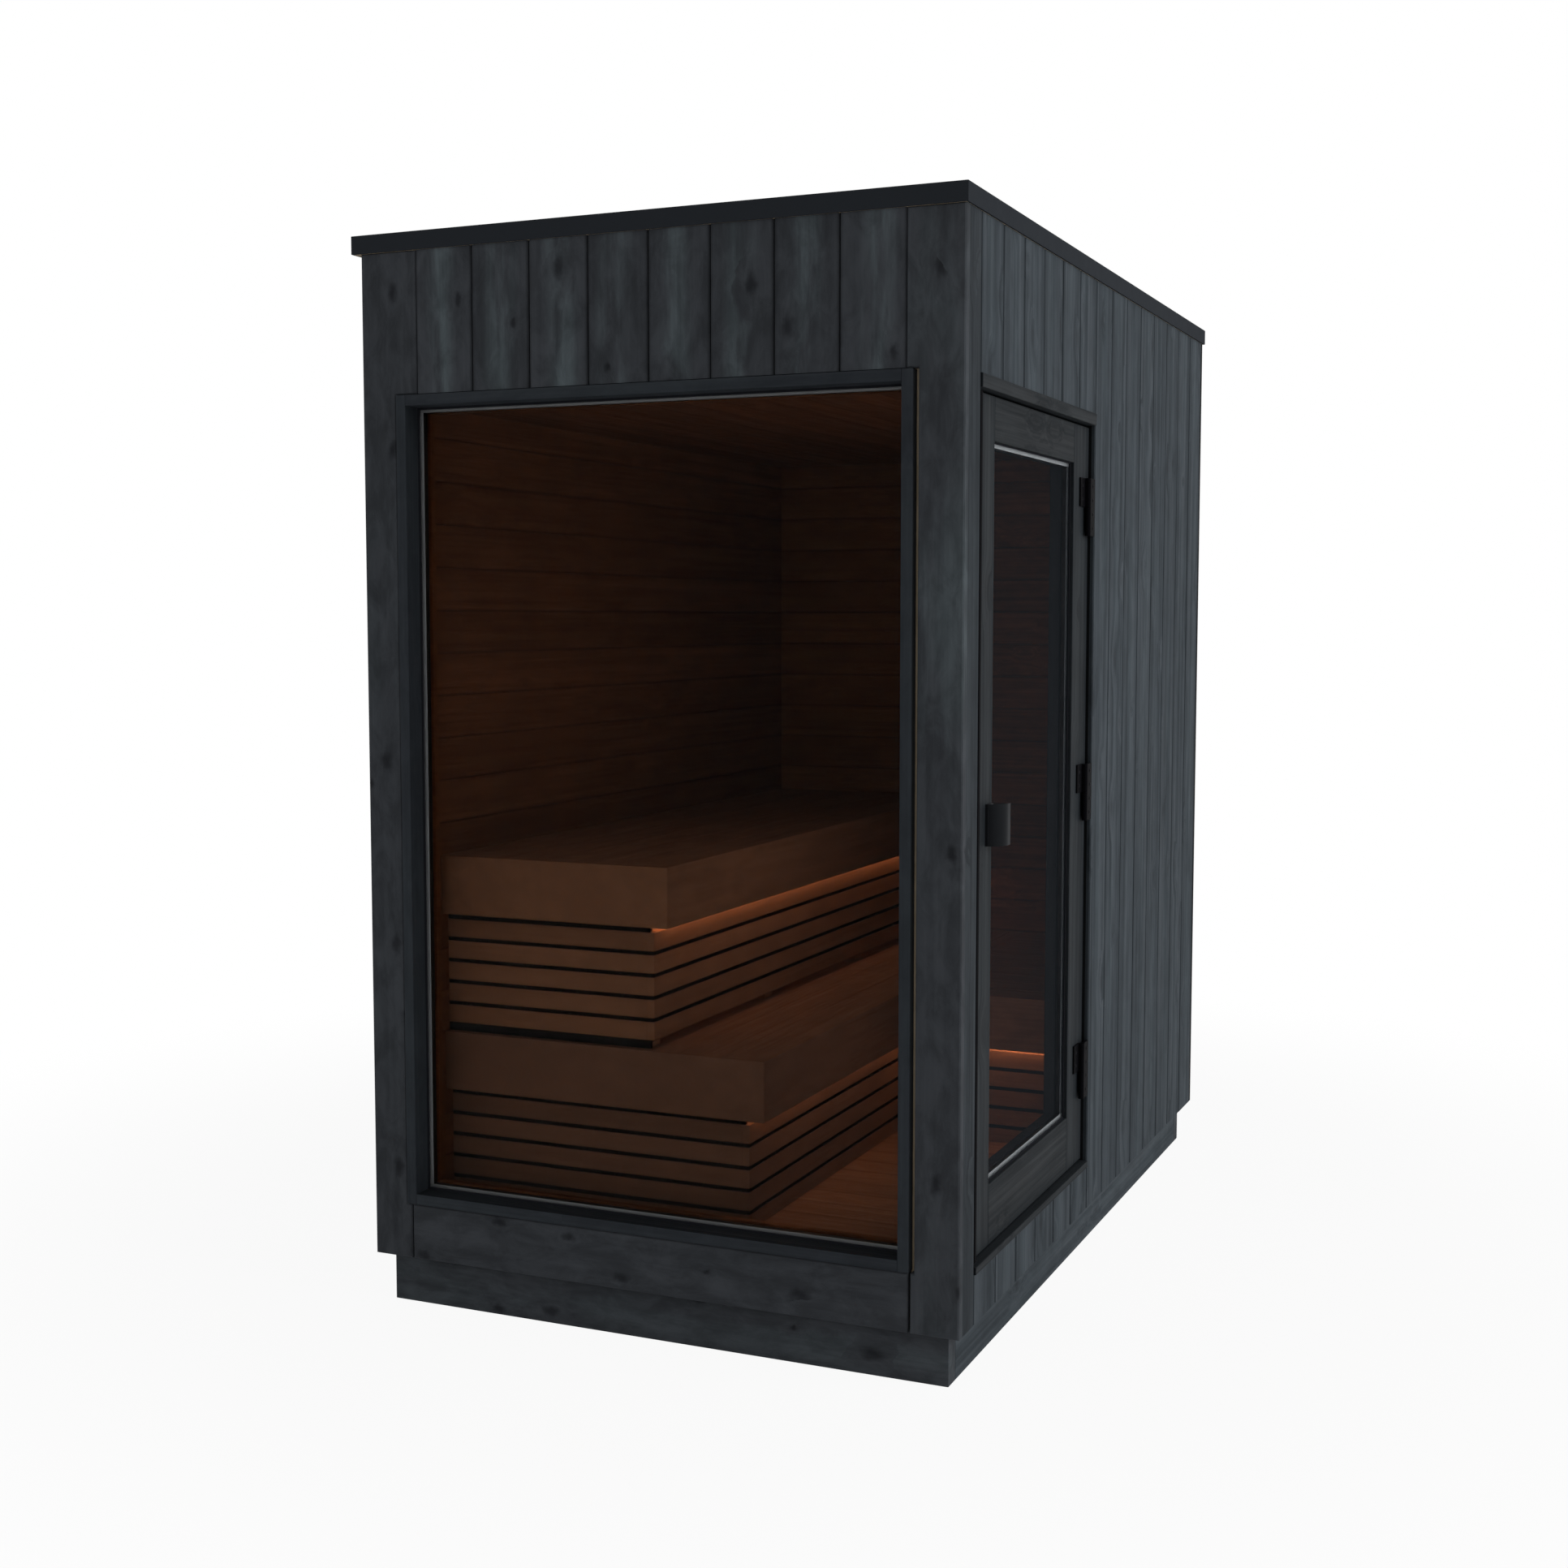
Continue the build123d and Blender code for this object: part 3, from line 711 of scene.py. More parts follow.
# Boards laid side by side
def make_board_run():
    """Chamfered boards on a backing, added to what the piece already holds.
    Across runs from board to board, along is each board's length."""
    tree, given, out = new_group("board_run", "GeometryNodeTree", {
        "Geometry": ("NodeSocketGeometry", None),
        "Start": ("NodeSocketVector", None),
        "Rotation": ("NodeSocketRotation", None),
        "Count": ("NodeSocketInt", 5),
        "Pitch": ("NodeSocketFloat", 0.14),
        "Gap": ("NodeSocketFloat", 0.002),
        "Length": ("NodeSocketFloat", 1.0),
        "Thickness": ("NodeSocketFloat", 0.022),
        "Face Depth": ("NodeSocketFloat", 0.010),
        "Edge": ("NodeSocketFloat", 0.003),
        "Unevenness": ("NodeSocketFloat", 0.0),
        "Seed": ("NodeSocketInt", 1),
        "Material": ("NodeSocketMaterial", None),
    }, {"Geometry": "NodeSocketGeometry"})
    # The backing's place across, which the wood grain darkens as painted shade in the grooves
    in_groove = 1.5
    width = minus(tree, given["Pitch"], given["Gap"])
    straight = minus(tree, given["Face Depth"], given["Edge"])
    cube = output(tree, "GeometryNodeMeshCube", {
        "Size": vector(tree, width, given["Length"], straight)})
    normal = output(tree, "GeometryNodeInputNormal")
    raised = extruded(tree, cube, above(tree, split(tree, normal)[2], 0.5), given["Edge"])
    both_edges = times(tree, given["Edge"], 2.0)
    board = output(tree, "GeometryNodeScaleElements", {
        "Geometry": raised["Mesh"], "Selection": raised["Top"],
        "Scale": over(tree, minus(tree, width, both_edges), width), "Axis": (1, 0, 0)},
        domain="FACE", scale_mode="SINGLE_AXIS")
    sideways = split(tree, output(tree, "GeometryNodeInputPosition"))[0]
    board = noted(tree, board, "across", over(tree, sideways, times(tree, width, 0.5)))

    backing_depth = minus(tree, given["Thickness"], given["Face Depth"])
    half_length = times(tree, given["Length"], 0.5)
    first = vector(tree, times(tree, given["Pitch"], 0.5), half_length,
                   plus(tree, backing_depth, times(tree, straight, 0.5)))
    placed = in_a_row(tree, given, board, first, vector(tree, given["Pitch"]))
    number = add(tree, "FunctionNodeRandomValue", {
        "ID": output(tree, "GeometryNodeInputIndex"), "Seed": given["Seed"]},
        data_type="FLOAT").outputs[1]
    numbered = noted(tree, placed, "board", number, domain="INSTANCE")
    sunk = times(tree, times(tree, number, -1.0), given["Unevenness"])
    moved = output(tree, "GeometryNodeTranslateInstances", {
        "Instances": numbered, "Translation": vector(tree, z=sunk)})

    run_length = times(tree, given["Count"], given["Pitch"])
    backing = output(tree, "GeometryNodeMeshCube", {
        "Size": vector(tree, run_length, given["Length"], backing_depth)})
    middle = vector(tree, times(tree, run_length, 0.5), half_length,
                    times(tree, backing_depth, 0.5))
    backing = output(tree, "GeometryNodeTransform", {
        "Geometry": noted(tree, backing, "across", in_groove), "Translation": middle})
    turned = output(tree, "GeometryNodeTransform", {
        "Geometry": joined(tree, moved, backing), "Translation": given["Start"],
        "Rotation": given["Rotation"]})
    finish_tree(tree, given, turned, out)
    return tree


def make_bar_row():
    """Equal bars in a row, added to what the piece already holds."""
    tree, given, out = new_group("bar_row", "GeometryNodeTree", {
        "Geometry": ("NodeSocketGeometry", None),
        "First Middle": ("NodeSocketVector", None),
        "Step": ("NodeSocketVector", None),
        "Count": ("NodeSocketInt", 4),
        "Size": ("NodeSocketVector", None),
        "Material": ("NodeSocketMaterial", None),
    }, {"Geometry": "NodeSocketGeometry"})
    bar = output(tree, "GeometryNodeMeshCube", {"Size": given["Size"]})
    placed = in_a_row(tree, given, bar, given["First Middle"], given["Step"])
    finish_tree(tree, given, placed, out)
    return tree


def make_screw_row():
    """Low screw heads with a socket, in a row; their tops face the way they are turned."""
    tree, given, out = new_group("screw_row", "GeometryNodeTree", {
        "Geometry": ("NodeSocketGeometry", None),
        "First": ("NodeSocketVector", None),
        "Step": ("NodeSocketVector", None),
        "Count": ("NodeSocketInt", 4),
        "Radius": ("NodeSocketFloat", 0.0042),
        "Height": ("NodeSocketFloat", 0.0014),
        "Facing": ("NodeSocketRotation", None),
        "Material": ("NodeSocketMaterial", None),
    }, {"Geometry": "NodeSocketGeometry"})
    sides = 14
    domed, dome_width = 0.4, 0.8
    socket_depth, socket_width = 0.7, 0.5
    head = add(tree, "GeometryNodeMeshCylinder", {
        "Vertices": sides, "Radius": given["Radius"], "Depth": given["Height"]},
        fill_type="NGON").outputs
    rim = extruded(tree, head["Mesh"], head["Top"], times(tree, given["Height"], domed))
    dome = scaled(tree, rim["Mesh"], rim["Top"], dome_width)
    lip = extruded(tree, dome, rim["Top"], 0.0)
    socket = scaled(tree, lip["Mesh"], lip["Top"], socket_width)
    sunk = extruded(tree, socket, lip["Top"], times(tree, given["Height"], -socket_depth))
    placed = in_a_row(tree, given, sunk["Mesh"], given["First"], given["Step"],
                      given["Facing"])
    finish_tree(tree, given, placed, out)
    return tree


board_run = make_board_run()
bar_row = make_bar_row()
screw_row = make_screw_row()


# Pieces
def new_piece(name):
    piece = bpy.data.objects.new(name, bpy.data.meshes.new(name))
    scene.collection.objects.link(piece)
    return piece


def add_tree(piece, tree, values):
    """Puts a node tree on a piece, with its inputs set by name."""
    modifier = piece.modifiers.new(tree.name, "NODES")
    modifier.node_group = tree
    identifiers = {item.name: item.identifier for item in tree.interface.items_tree
                   if item.in_out == "INPUT"}
    for name, value in values.items():
        modifier[identifiers[name]] = value


def lay_boards(piece, start, across, along, count, pitch, length, material, seed,
               thickness=board_thickness, face_depth=board_face_depth, edge=board_edge,
               gap=board_gap, unevenness=board_unevenness):
    turn = Matrix((across, along, across.cross(along))).transposed().to_euler()
    add_tree(piece, board_run, {
        "Start": start, "Rotation": turn, "Count": count, "Pitch": pitch, "Gap": gap,
        "Length": length, "Thickness": thickness, "Face Depth": face_depth, "Edge": edge,
        "Unevenness": unevenness, "Seed": seed, "Material": material})


def bake(piece):
    """Turns a piece's modifiers into a plain mesh."""
    seen = bpy.context.evaluated_depsgraph_get()
    seen.update()
    mesh = bpy.data.meshes.new_from_object(piece.evaluated_get(seen))
    mesh.name = piece.name
    piece.modifiers.clear()
    piece.data = mesh


def finish_piece(piece, body, slot, *replaced):
    """Bakes a piece's trees, gives it its body and hides the nodes that it replaces; its slot
    is not used.
    """
    if piece.modifiers:
        bake(piece)
    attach(piece, body)
    if replaced:
        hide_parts(*replaced)


def boarded(name, node, slot, *runs, **sizes):
    """A skin of boards in place of a CAD node. Each run is (start, across, along, count,
    pitch, length, material, seed)."""
    piece = new_piece(name)
    for run in runs:
        lay_boards(piece, *run, **sizes)
    finish_piece(piece, "cabin", slot, node)


def corners(low_a, low_b, high_a, high_b):
    """A rectangle's corners, counter-clockwise from the lowest."""
    return [(low_a, low_b), (high_a, low_b), (high_a, high_b), (low_a, high_b)]


def shaped_plank(mesh, outline, start, across, along, grain_from, thickness=board_thickness,
                 edge=board_edge, chamfered=None):
    """A plank with a square-cornered outline in (across, along). Its face is chamfered on
    all sides, or only on the outline's sides with the numbers in chamfered."""
    bm = bmesh.new()
    bm.from_mesh(mesh)
    layers = bm.verts.layers.float
    for title in ("board", "across"):
        if title not in layers:
            layers.new(title)
    board_layer, across_layer = layers["board"], layers["across"]
    outward = across.cross(along)
    count = len(outline)

    def inner(index):
        """The outline's corner, moved in from the chamfered sides that meet there."""
        point = list(outline[index])
        for side in (index - 1, index):
            (ax, ay), (bx, by) = outline[side], outline[(side + 1) % count]
            if chamfered is not None and side % count not in chamfered:
                continue
            if ax == bx:
                point[0] += -edge if by > ay else edge
            else:
                point[1] += edge if bx > ax else -edge
        return point

    def ring(points, depth):
        found = []
        for a, b in points:
            vert = bm.verts.new(start + across * a + along * b + outward * depth)
            vert[board_layer] = grain_from
            vert[across_layer] = plank_smear_place
            found.append(vert)
        return found

    low = ring(outline, 0)
    middle = ring(outline, thickness - edge)
    top = ring([inner(index) for index in range(count)], thickness)
    bm.faces.new(top)
    bm.faces.new(list(reversed(low)))
    for lower, upper in ((low, middle), (middle, top)):
        for index in range(count):
            after = (index + 1) % count
            bm.faces.new((lower[index], lower[after], upper[after], upper[index]))
    bm.to_mesh(mesh)
    bm.free()


def round_edges(bm, edge):
    sharp = [e for e in bm.edges if e.is_manifold and e.calc_face_angle(0) > sharp_angle]
    bmesh.ops.bevel(bm, geom=sharp, offset=edge, segments=2, profile=0.5, affect="EDGES",
                    clamp_overlap=True)


def piece_from(bm, name, material, body, slot, *replaced):
    """A finished piece from a mesh in the making."""
    piece = new_piece(name)
    bm.to_mesh(piece.data)
    bm.free()
    piece.data.materials.append(material)
    finish_piece(piece, body, slot, *replaced)


def softened(name, node, edge, material, body, slot, seams=(), seam_axis=0):
    """A copy of a CAD node with its edges rounded off, and seams in its top."""
    bm = bmesh.new()
    bm.from_mesh(nodes[node].data)
    bmesh.ops.remove_doubles(bm, verts=bm.verts, dist=merge_distance)
    bmesh.ops.dissolve_limit(bm, angle_limit=flat_angle, verts=bm.verts, edges=bm.edges)
    round_edges(bm, edge)
    top = max(vert.co.z for vert in bm.verts)
    across = (RIGHT, BACK)[seam_axis]
    for seam in seams:
        for place in (seam - seat_seam_width / 2, seam, seam + seat_seam_width / 2):
            bmesh.ops.bisect_plane(bm, geom=bm.verts[:] + bm.edges[:] + bm.faces[:],
                                   plane_co=across * place, plane_no=across,
                                   dist=cut_distance)
        for vert in bm.verts:
            on_seam = abs(vert.co[seam_axis] - seam) < merge_distance
            if on_seam and abs(vert.co.z - top) < merge_distance:
                vert.co.z -= seat_seam_depth
    piece_from(bm, name, material, body, slot, node)


def ring_round(name, facing, low, high, width, depths, edge, material, body, slot, *replaced):
    """Four mitred bars just inside a rectangle. Low and high are its corners as
    (across, height), and depths the ring's two faces along the axis it faces."""
    (a0, z0), (a1, z1) = low, high
    bm = bmesh.new()
    loops = []
    for depth in depths:
        for inset in (0, width):
            points = corners(a0 + inset, z0 + inset, a1 - inset, z1 - inset)
            loops.append([bm.verts.new((depth, a, z) if facing == "x" else (a, depth, z))
                          for a, z in points])
    outer_a, inner_a, outer_b, inner_b = loops
    for one, other in ((outer_a, inner_a), (inner_a, inner_b), (inner_b, outer_b),
                       (outer_b, outer_a)):
        for index in range(4):
            after = (index + 1) % 4
            bm.faces.new((one[index], one[after], other[after], other[index]))
    bmesh.ops.recalc_face_normals(bm, faces=bm.faces)
    round_edges(bm, edge)
    piece_from(bm, name, material, body, slot, *replaced)


# Cladding, from the boxes of the CAD walls
front_low, front_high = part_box("cladding_front")
side_low, side_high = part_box("cladding_right")
left_x, right_x = front_low.x, front_high.x
front_y, back_y = front_low.y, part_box("cladding_back")[1].y
wall_bottom, wall_top = front_low.z, front_high.z
wall_height = wall_top - wall_bottom
casing_low, casing_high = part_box("window_jambs")
door_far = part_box("door_head")[1].y
door_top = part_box("door_head")[1].z
door_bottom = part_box("door_threshold")[0].z


def clad_front():
    piece = new_piece("front_boards")
    start = Vector((0, front_y + board_thickness, 0))
    sill_level = casing_low.z - stile_clearance
    head_level = casing_high.z + stile_clearance
    left_low = casing_low.x + panel_left_inset - panel_clearance
    left_edge = casing_low.x - stile_clearance
    left_top = left_x + left_board_over_window
    left_stile = [
        (left_x, wall_bottom), (left_low, wall_bottom), (left_low, sill_level),
        (left_edge, sill_level), (left_edge, head_level), (left_top, head_level),
        (left_top, wall_top), (left_x, wall_top)]
    right_low = casing_high.x + panel_clearance
    right_edge = casing_high.x + right_stile_gap
    right_top = right_x - right_board_over_window
    right_stile = [
        (right_x, wall_top), (right_top, wall_top), (right_top, head_level),
        (right_edge, head_level), (right_edge, sill_level), (right_low, sill_level),
        (right_low, wall_bottom), (right_x, wall_bottom)]
    shaped_plank(piece.data, left_stile, start, RIGHT, UP, left_stile_grain)
    shaped_plank(piece.data, right_stile, start, RIGHT, UP, right_stile_grain)
    lay_boards(piece, Vector((left_top, start.y, head_level)), RIGHT, UP, boards_over_window,
               (right_top - left_top) / boards_over_window, wall_top - head_level,
               front_boards_wood, seeds["over_window"])
    finish_piece(piece, "cabin", "black_cladding", "cladding_front")

    panel = new_piece("front_panel")
    outline = corners(casing_low.x + panel_left_inset, wall_bottom,
                      casing_high.x - board_gap, sill_level)
    shaped_plank(panel.data, outline, start, RIGHT, UP, panel_grain)
    panel.data.materials.append(front_panel_wood)
    finish_piece(panel, "cabin", "black_cladding")


def clad_right():
    x = right_x - board_thickness
    first = front_y + right_corner_board
    over_pitch = (door_far - first) / boards_over_door
    behind_pitch = (side_high.y - door_far) / boards_behind_door
    boarded("door_side_boards", "cladding_right", "black_cladding",
            (Vector((x, first, door_top)), BACK, UP, boards_over_door, over_pitch,
             wall_top - door_top, side_boards_wood, seeds["over_door"]),
            (Vector((x, first, wall_bottom)), BACK, UP, boards_over_door, over_pitch,
             door_bottom - wall_bottom, side_boards_wood, seeds["over_door"]),
            (Vector((x, door_far, wall_bottom)), BACK, UP, boards_behind_door, behind_pitch,
             wall_height, side_boards_wood, seeds["behind_door"]))
    corner = new_piece("door_side_corner_board")
    shaped_plank(corner.data, corners(side_low.y, wall_bottom, first, wall_top),
                 Vector((x, 0, 0)), BACK, UP, corner_board_grain, chamfered=[1])
    corner.data.materials.append(corner_board_wood)
    finish_piece(corner, "cabin", "black_cladding")


def clad_left_and_back():
    boarded("left_boards", "cladding_left", "black_cladding",
            (Vector((left_x + board_thickness, side_high.y, wall_bottom)), -BACK, UP,
             boards_on_left, (side_high.y - side_low.y) / boards_on_left, wall_height,
             side_boards_wood, seeds["left"]))
    boarded("back_boards", "cladding_back", "black_cladding",
            (Vector((right_x, back_y - board_thickness, wall_bottom)), -RIGHT, UP,
             boards_on_back, (right_x - left_x) / boards_on_back, wall_height,
             side_boards_wood, seeds["back"]))


clad_front()
clad_right()
clad_left_and_back()


# Lining, ceiling and floor
room_low = Vector((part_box("ceiling")[0].x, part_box("ceiling")[0].y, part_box("floor")[1].z))


def line_room():
    low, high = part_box("lining_left")
    courses = math.ceil((high.z - low.z) / lining_pitch)
    pitch = (high.z - low.z) / courses
    fine = dict(edge=lining_edge, gap=lining_gap, unevenness=lining_unevenness)
    lining = dict(fine, thickness=high.x - low.x, face_depth=lining_face_depth)
    boarded("left_lining_boards", "lining_left", "lining",
            (Vector((low.x, high.y, low.z)), UP, -BACK, courses, pitch, high.y - low.y,
             lining_y, seeds["left_lining"]), **lining)
    low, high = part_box("lining_back")
    boarded("back_lining_boards", "lining_back", "lining",
            (Vector((high.x, high.y, low.z)), UP, -RIGHT, courses, pitch, high.x - low.x,
             lining_x, seeds["back_lining"]), **lining)
    low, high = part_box("lining_right")
    frame_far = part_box("door_jambs")[1].y
    boarded("right_lining_boards", "lining_right", "lining",
            (Vector((high.x, frame_far, low.z)), UP, BACK, courses, pitch,
             high.y - frame_far, lining_y, seeds["right_lining"]),
            (Vector((high.x, low.y, door_top)), UP, BACK, 1, high.z - door_top,
             frame_far - low.y, lining_y, seeds["lining_over_door"]), **lining)
    low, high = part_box("ceiling")
    rows = math.ceil((high.x - low.x) / lining_pitch)
    boarded("ceiling_boards", "ceiling", "lining",
            (Vector((high.x, low.y, high.z)), -RIGHT, BACK, rows, (high.x - low.x) / rows,
             high.y - low.y, lining_y, seeds["ceiling"]), **lining)
    low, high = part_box("floor")
    rows = math.ceil((high.y - low.y) / floor_board_pitch)
    boarded("floor_boards", "floor", "floor_wood",
            (Vector((low.x, high.y, low.z)), -BACK, RIGHT, rows, (high.y - low.y) / rows,
             high.x - low.x, floor_x, seeds["floor"]),
            thickness=high.z - low.z, face_depth=floor_board_depth, **fine)


line_room()

# Timber and metal that keep their CAD shape, with rounded edges
TIMBER = (
    ("front_and_back_plinth_boards", "plinth_ends", front_panel_wood, "cabin", "black_plinth"),
    ("side_plinth_boards", "plinth_sides", side_plinth_wood, "cabin", "black_plinth"),
    ("window_casing_sides", "window_jambs", casing_upright, "cabin", "black_joinery"),
    ("window_casing_head", "window_head", casing_lying, "cabin", "black_joinery"),
    ("window_casing_sill", "window_sill", sill_with_shaded_top, "cabin", "black_joinery"),
    ("door_frame_sides", "door_jambs", leaf_upright, "cabin", "black_joinery"),
    ("door_frame_head", "door_head", leaf_lying, "cabin", "black_joinery"),
    ("door_frame_threshold", "door_threshold", leaf_lying, "cabin", "black_joinery"),
    ("door_leaf_stiles", "door_stiles", leaf_upright, "door", "black_joinery"),
    ("door_leaf_rails", "door_rails", leaf_lying, "door", "black_joinery"),
)
METAL = (
    ("handle_pulls", "door_handle", handle_coat, "door", "black_metal"),
    ("roof_trim_ends", "fascia_ends", trim_coat, "cabin", "roof_trim"),
    ("roof_trim_sides", "fascia_sides", trim_coat, "cabin", "roof_trim"),
)
for edge, rows in ((timber_edge, TIMBER), (metal_edge, METAL)):
    for name, node, material, body, slot in rows:
        softened(name, node, edge, material, body, slot)


def seat_seams(low, high):
    """Where the boards of a seat meet, counted back from its front edge."""
    boards = int(abs(high - low) / seat_board_pitch)
    return [high - math.copysign(seat_board_pitch, high - low) * (index + 1)
            for index in range(boards)]


for tier in ("upper", "lower"):
    seat_low, seat_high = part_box(tier + "_bench_seat")
    softened(tier + "_seat", tier + "_bench_seat", bench_edge, bench_wood[tier, "seat", "y"],
             "cabin", "bench_wood", seams=seat_seams(seat_low.x, seat_high.x))
    softened(tier + "_slats_front", tier + "_bench_front_skirt", slat_edge,
             bench_wood[tier, "slats", "y"], "cabin", "bench_wood")
    softened(tier + "_slats_end", tier + "_bench_end_skirt", slat_edge,
             bench_wood[tier, "slats", "x"], "cabin", "bench_wood")
seat_low, seat_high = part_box("lower_bench_return_seat")
softened("return_seat", "lower_bench_return_seat", bench_edge, bench_wood["lower", "seat", "x"],
         "cabin", "bench_wood", seams=seat_seams(seat_high.y, seat_low.y), seam_axis=1)
softened("return_slats", "lower_bench_return_skirt", slat_edge,
         bench_wood["lower", "slats", "x"], "cabin", "bench_wood")


def shadow_strips(piece, low, high, top, height, count):
    """Dark strips between two corners of a skirt's face, one in each gap from the top down, as
    painted shadow.
    """
    middle, size = (low + high) / 2, high - low
    add_tree(piece, bar_row, {
        "First Middle": Vector((middle.x, middle.y, top - height / 2)),
        "Step": Vector((0, 0, -slat_pitch)), "Count": count,
        "Size": Vector((size.x, size.y, height)), "Material": gap_shadow_paint})


def paint_shadow_in_slat_gaps():
    """Dark strips a little behind the slats' faces, in the gaps between them, under the seats'
    edges and below the end skirts, as painted shadow.
    """
    piece = new_piece("slat_gap_shadow_strips")
    for tier, stand in (("upper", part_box("lower_bench_seat")[1].z), ("lower", room_low.z)):
        low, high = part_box(tier + "_bench_front_skirt")
        first_gap = slats_top(tier) - slat_pitch + slat_gap
        face = high.x - shadow_strip_depth
        shadow_strips(piece, Vector((face - slat_thickness / 2, low.y + shadow_strip_depth)),
                    Vector((face, high.y)), first_gap, slat_gap, slat_count - 1)
        end_low = Vector((room_low.x, low.y + shadow_strip_depth))
        end_high = Vector((face - slat_thickness / 2, end_low.y + slat_thickness / 2))
        shadow_strips(piece, end_low, end_high, first_gap, slat_gap, slat_count - 1)
        shadow_strips(piece, end_low, end_high, slats_top(tier) + apron_gap, apron_gap, 1)
        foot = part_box(tier + "_bench_end_skirt")[0].z
        shadow_strips(piece, end_low, end_high, foot, foot - stand, 1)
    low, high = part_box("lower_bench_return_skirt")
    shadow_strips(piece, Vector((low.x, low.y + shadow_strip_depth)),
                Vector((high.x, low.y + shadow_strip_depth + slat_thickness / 2)),
                slats_top("lower") - slat_pitch + slat_gap, slat_gap, slat_count - 1)
    finish_piece(piece, "cabin", "bench_wood")


paint_shadow_in_slat_gaps()


# Seals and beads round the glass
window_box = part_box("window_sill")[0].x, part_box("window_head")[1].x
sight_low = (window_box[0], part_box("window_sill")[1].z)
sight_high = (window_box[1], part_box("window_head")[0].z)
glass_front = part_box("window_glass")[0].y
ring_round("window_seal", "y", sight_low, sight_high, window_seal_width,
           (glass_front - seal_depth, glass_front), seal_edge, seal_grey, "cabin",
           "black_joinery")
rail_low, rail_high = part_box("door_rails")
stile_low, stile_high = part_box("door_stiles")
door_glass_low, door_glass_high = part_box("door_glass")
leaf_sight_low = (rail_low.y, door_glass_low.z + glass_bite)
leaf_sight_high = (rail_high.y, door_glass_high.z - glass_bite)
ring_round("door_seal", "x", leaf_sight_low, leaf_sight_high, door_seal_width,
           (door_glass_high.x, door_glass_high.x + seal_depth), seal_edge, seal_grey, "door",
           "black_joinery")
ring_round("door_inner_bead", "x", leaf_sight_low, leaf_sight_high, bead_width,
           (stile_low.x - bead_proud, door_glass_low.x), timber_edge, leaf_upright, "door",
           "black_joinery")
low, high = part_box("window_spacer")
ring_round("window_spacer_bars", "y", (low.x, low.z), (high.x, high.z),
           glass_bite + spacer_sight, (low.y + spacer_clearance, high.y - spacer_clearance),
           seal_edge, window_spacer_metal, "cabin", "spacer", "window_spacer")
low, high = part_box("door_spacer")
ring_round("door_spacer_bars", "x", (low.y, low.z), (high.y, high.z),
           glass_bite + spacer_sight, (low.x + spacer_clearance, high.x - spacer_clearance),
           seal_edge, door_spacer_metal, "door", "spacer", "door_spacer")


def make_shadow_lip():
    """A black lip up the leaf's closing edge, a dark strip put there as painted shadow of the
    gap.
    """
    piece = new_piece("door_shadow_lip")
    outline = corners(stile_low.y, stile_low.z, stile_low.y + lip_width, stile_high.z)
    shaped_plank(piece.data, outline, Vector((stile_high.x, 0, 0)), BACK, UP,
                 shadow_lip_grain, thickness=lip_depth, edge=lip_edge)
    piece.data.materials.append(shadow_lip_rubber)
    finish_piece(piece, "door", "black_joinery")


make_shadow_lip()


def add_screws():
    """Screws through the hinges' plates and the handle's foot."""
    facing = Matrix((-UP, BACK, RIGHT)).transposed().to_euler()

    def screws(piece, x, y, lowest, highest, count):
        add_tree(piece, screw_row, {
            "First": Vector((x, y, lowest)), "Step": UP * ((highest - lowest) / (count - 1)),
            "Count": count, "Radius": screw_radius, "Height": screw_height,
            "Facing": facing, "Material": screw_metal})

    on_frame, on_door = new_piece("frame_hinge_screws"), new_piece("door_screws")
    frame_low, frame_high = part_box("hinge_frame_halves")
    leaf_low, leaf_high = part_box("hinge_door_halves")
    half = hinge_height / 2
    for level in (frame_low.z + half, (leaf_high.z + frame_low.z) / 2, frame_high.z - half):
        screws(on_frame, right_x, frame_high.y - hinge_screw_from_edge,
               level - half + hinge_screw_from_end, level + half - hinge_screw_from_end,
               screws_in_frame_half)
        screws(on_door, stile_high.x + hinge_plate, leaf_low.y + hinge_screw_from_edge,
               level + hinge_screw_from_end, level + half - hinge_screw_from_end,
               screws_in_door_half)
    low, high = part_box("door_handle")
    screws(on_door, stile_high.x + handle_plate, low.y + handle_screw_from_edge,
           low.z + handle_screw_from_edge, high.z - handle_screw_from_edge,
           screws_in_handle)
    for piece, body in ((on_frame, "cabin"), (on_door, "door")):
        finish_piece(piece, body, "black_metal")


add_screws()


# CAD nodes that only get a finish
FINISHES = {
    "lining_front": lining_x,
    "base_bearers": raw_timber, "wall_beside_window": raw_timber,
    "wall_over_window": raw_timber, "wall_under_window": raw_timber, "wall_back": raw_timber,
    "wall_left": raw_timber, "wall_beside_door": raw_timber, "wall_over_door": raw_timber,
    "wall_under_door": raw_timber, "roof_deck": raw_timber, "roof_sheet": felt,
    "window_glass": window_tint, "door_glass": door_tint,
    "hinge_frame_halves": hinge_coat, "hinge_door_halves": hinge_coat,
    "upper_bench_bearers": bench_wood["upper", "seat", "x"],
    "lower_bench_bearers": bench_wood["lower", "seat", "x"], "bench_lights": strip_glow,
}
for name, material in FINISHES.items():
    nodes[name].data.materials.clear()
    nodes[name].data.materials.append(material)


# Floor, lamps and camera
def seen_directly(tree):
    """1 for what the eye sees, also in gloss and through glass."""
    path = add(tree, "ShaderNodeLightPath").outputs
    seen = math_node(tree, "MAXIMUM", path["Is Camera Ray"], path["Is Glossy Ray"])
    return math_node(tree, "MAXIMUM", seen, path["Is Transmission Ray"])


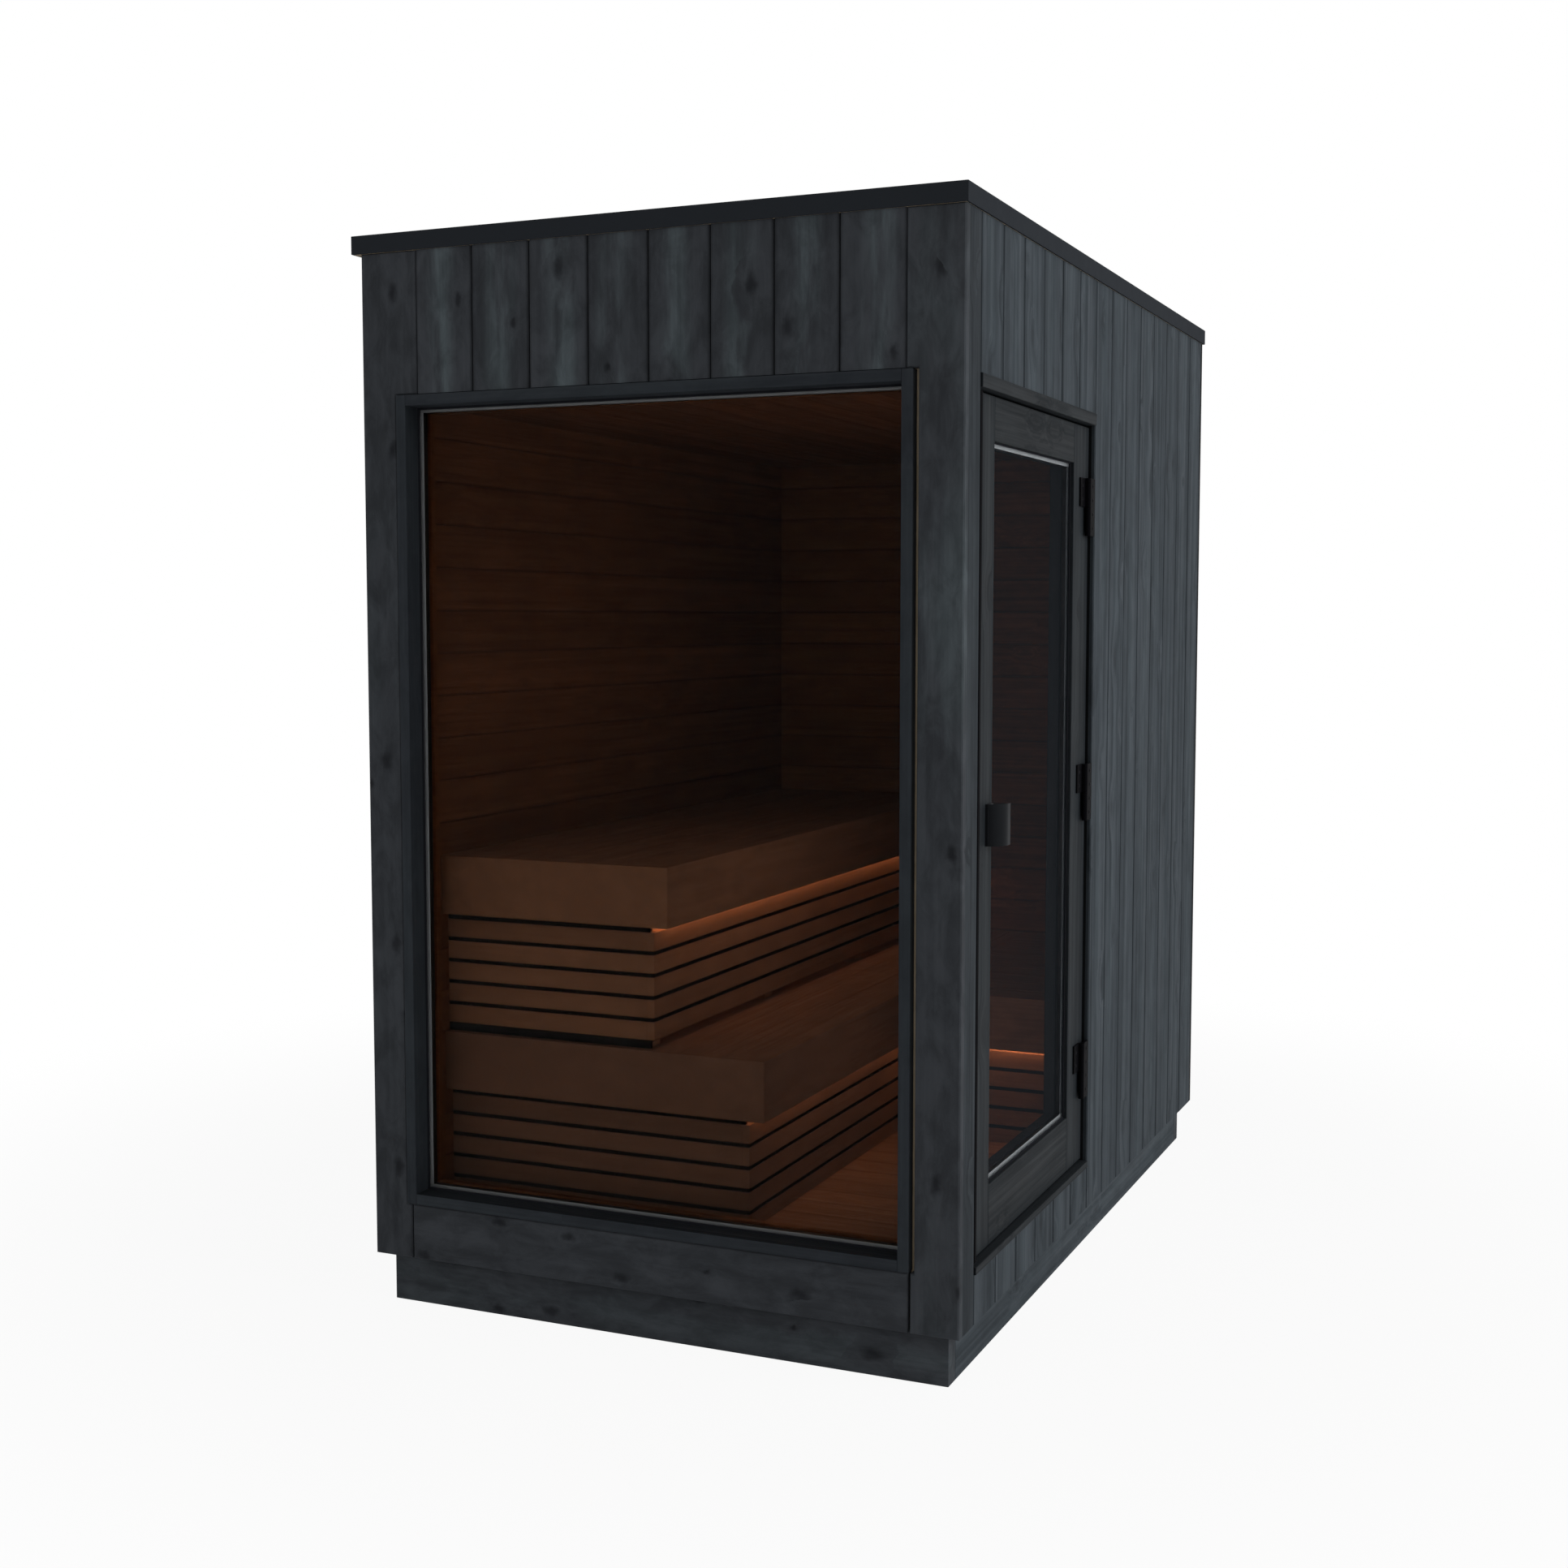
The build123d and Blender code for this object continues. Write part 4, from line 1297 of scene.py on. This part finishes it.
def make_stage():
    """A pale floor that goes white to the eye but keeps the cabin's shadow."""
    bpy.ops.mesh.primitive_plane_add(size=studio_floor_size)
    ground = bpy.context.object
    ground.name = "studio_floor"
    material, tree, shader, place = new_material("studio_floor")
    join(tree, shader, {"Base Color": rgb(0.80, 0.80, 0.80), "Roughness": 0.9,
                        "Specular IOR Level": 0.0})
    white = output(tree, "ShaderNodeEmission", {"Color": rgb(1, 1, 1), "Strength": 1.0})
    away = add(tree, "ShaderNodeVectorMath", {0: place}, operation="LENGTH").outputs["Value"]
    reach = times(tree, ramp(tree, away, white_from, white_at), 1.0 - near_white)
    share = times(tree, seen_directly(tree), plus(tree, near_white, reach))
    mixed = output(tree, "ShaderNodeMixShader", {0: share, 1: shader.outputs[0], 2: white})
    join(tree, tree.nodes["Material Output"], {"Surface": mixed})
    ground.data.materials.append(material)


def make_world():
    world = bpy.data.worlds.new("studio")
    scene.world = world
    world.use_nodes = True
    tree = world.node_tree
    tree.nodes.clear()
    strength = plus(tree, times(tree, seen_directly(tree), 1.0 - world_light), world_light)
    light = output(tree, "ShaderNodeBackground", {"Color": rgb(1, 1, 1), "Strength": strength})
    add(tree, "ShaderNodeOutputWorld", {"Surface": light})


def add_lamp(name, place, target, watts):
    """A soft lamp that neither shows in gloss nor shines through glass."""
    lamp = bpy.data.lights.new(name, "AREA")
    lamp.shape = "SQUARE"
    lamp.size = lamp_size
    lamp.energy = watts
    lamp.color = lamp_colour
    holder = bpy.data.objects.new(name, lamp)
    holder.location = place
    holder.rotation_euler = (Vector(target) - Vector(place)).to_track_quat("-Z", "Y").to_euler()
    holder.visible_glossy = False
    holder.visible_transmission = False
    scene.collection.objects.link(holder)


def add_camera():
    """The photograph's view, worked out from the cabin's corners."""
    camera = bpy.data.cameras.new("camera")
    camera.lens = camera_lens
    camera.sensor_width = camera_sensor
    camera.shift_x, camera.shift_y = camera_shift
    holder = bpy.data.objects.new("camera", camera)
    holder.location = camera_place
    holder.rotation_euler = (math.pi / 2 + camera_tilt, 0, camera_turn)
    scene.collection.objects.link(holder)
    scene.camera = holder


make_stage()
make_world()
add_lamp("side_lamp", place=(6.5, -0.5, 3.2), target=(0.5, 0, 1.1), watts=200)
add_lamp("front_lamp", place=(-1.5, -7.0, 3.6), target=(0, 0, 1.2), watts=60)
add_camera()
scene.view_settings.view_transform = "Standard"
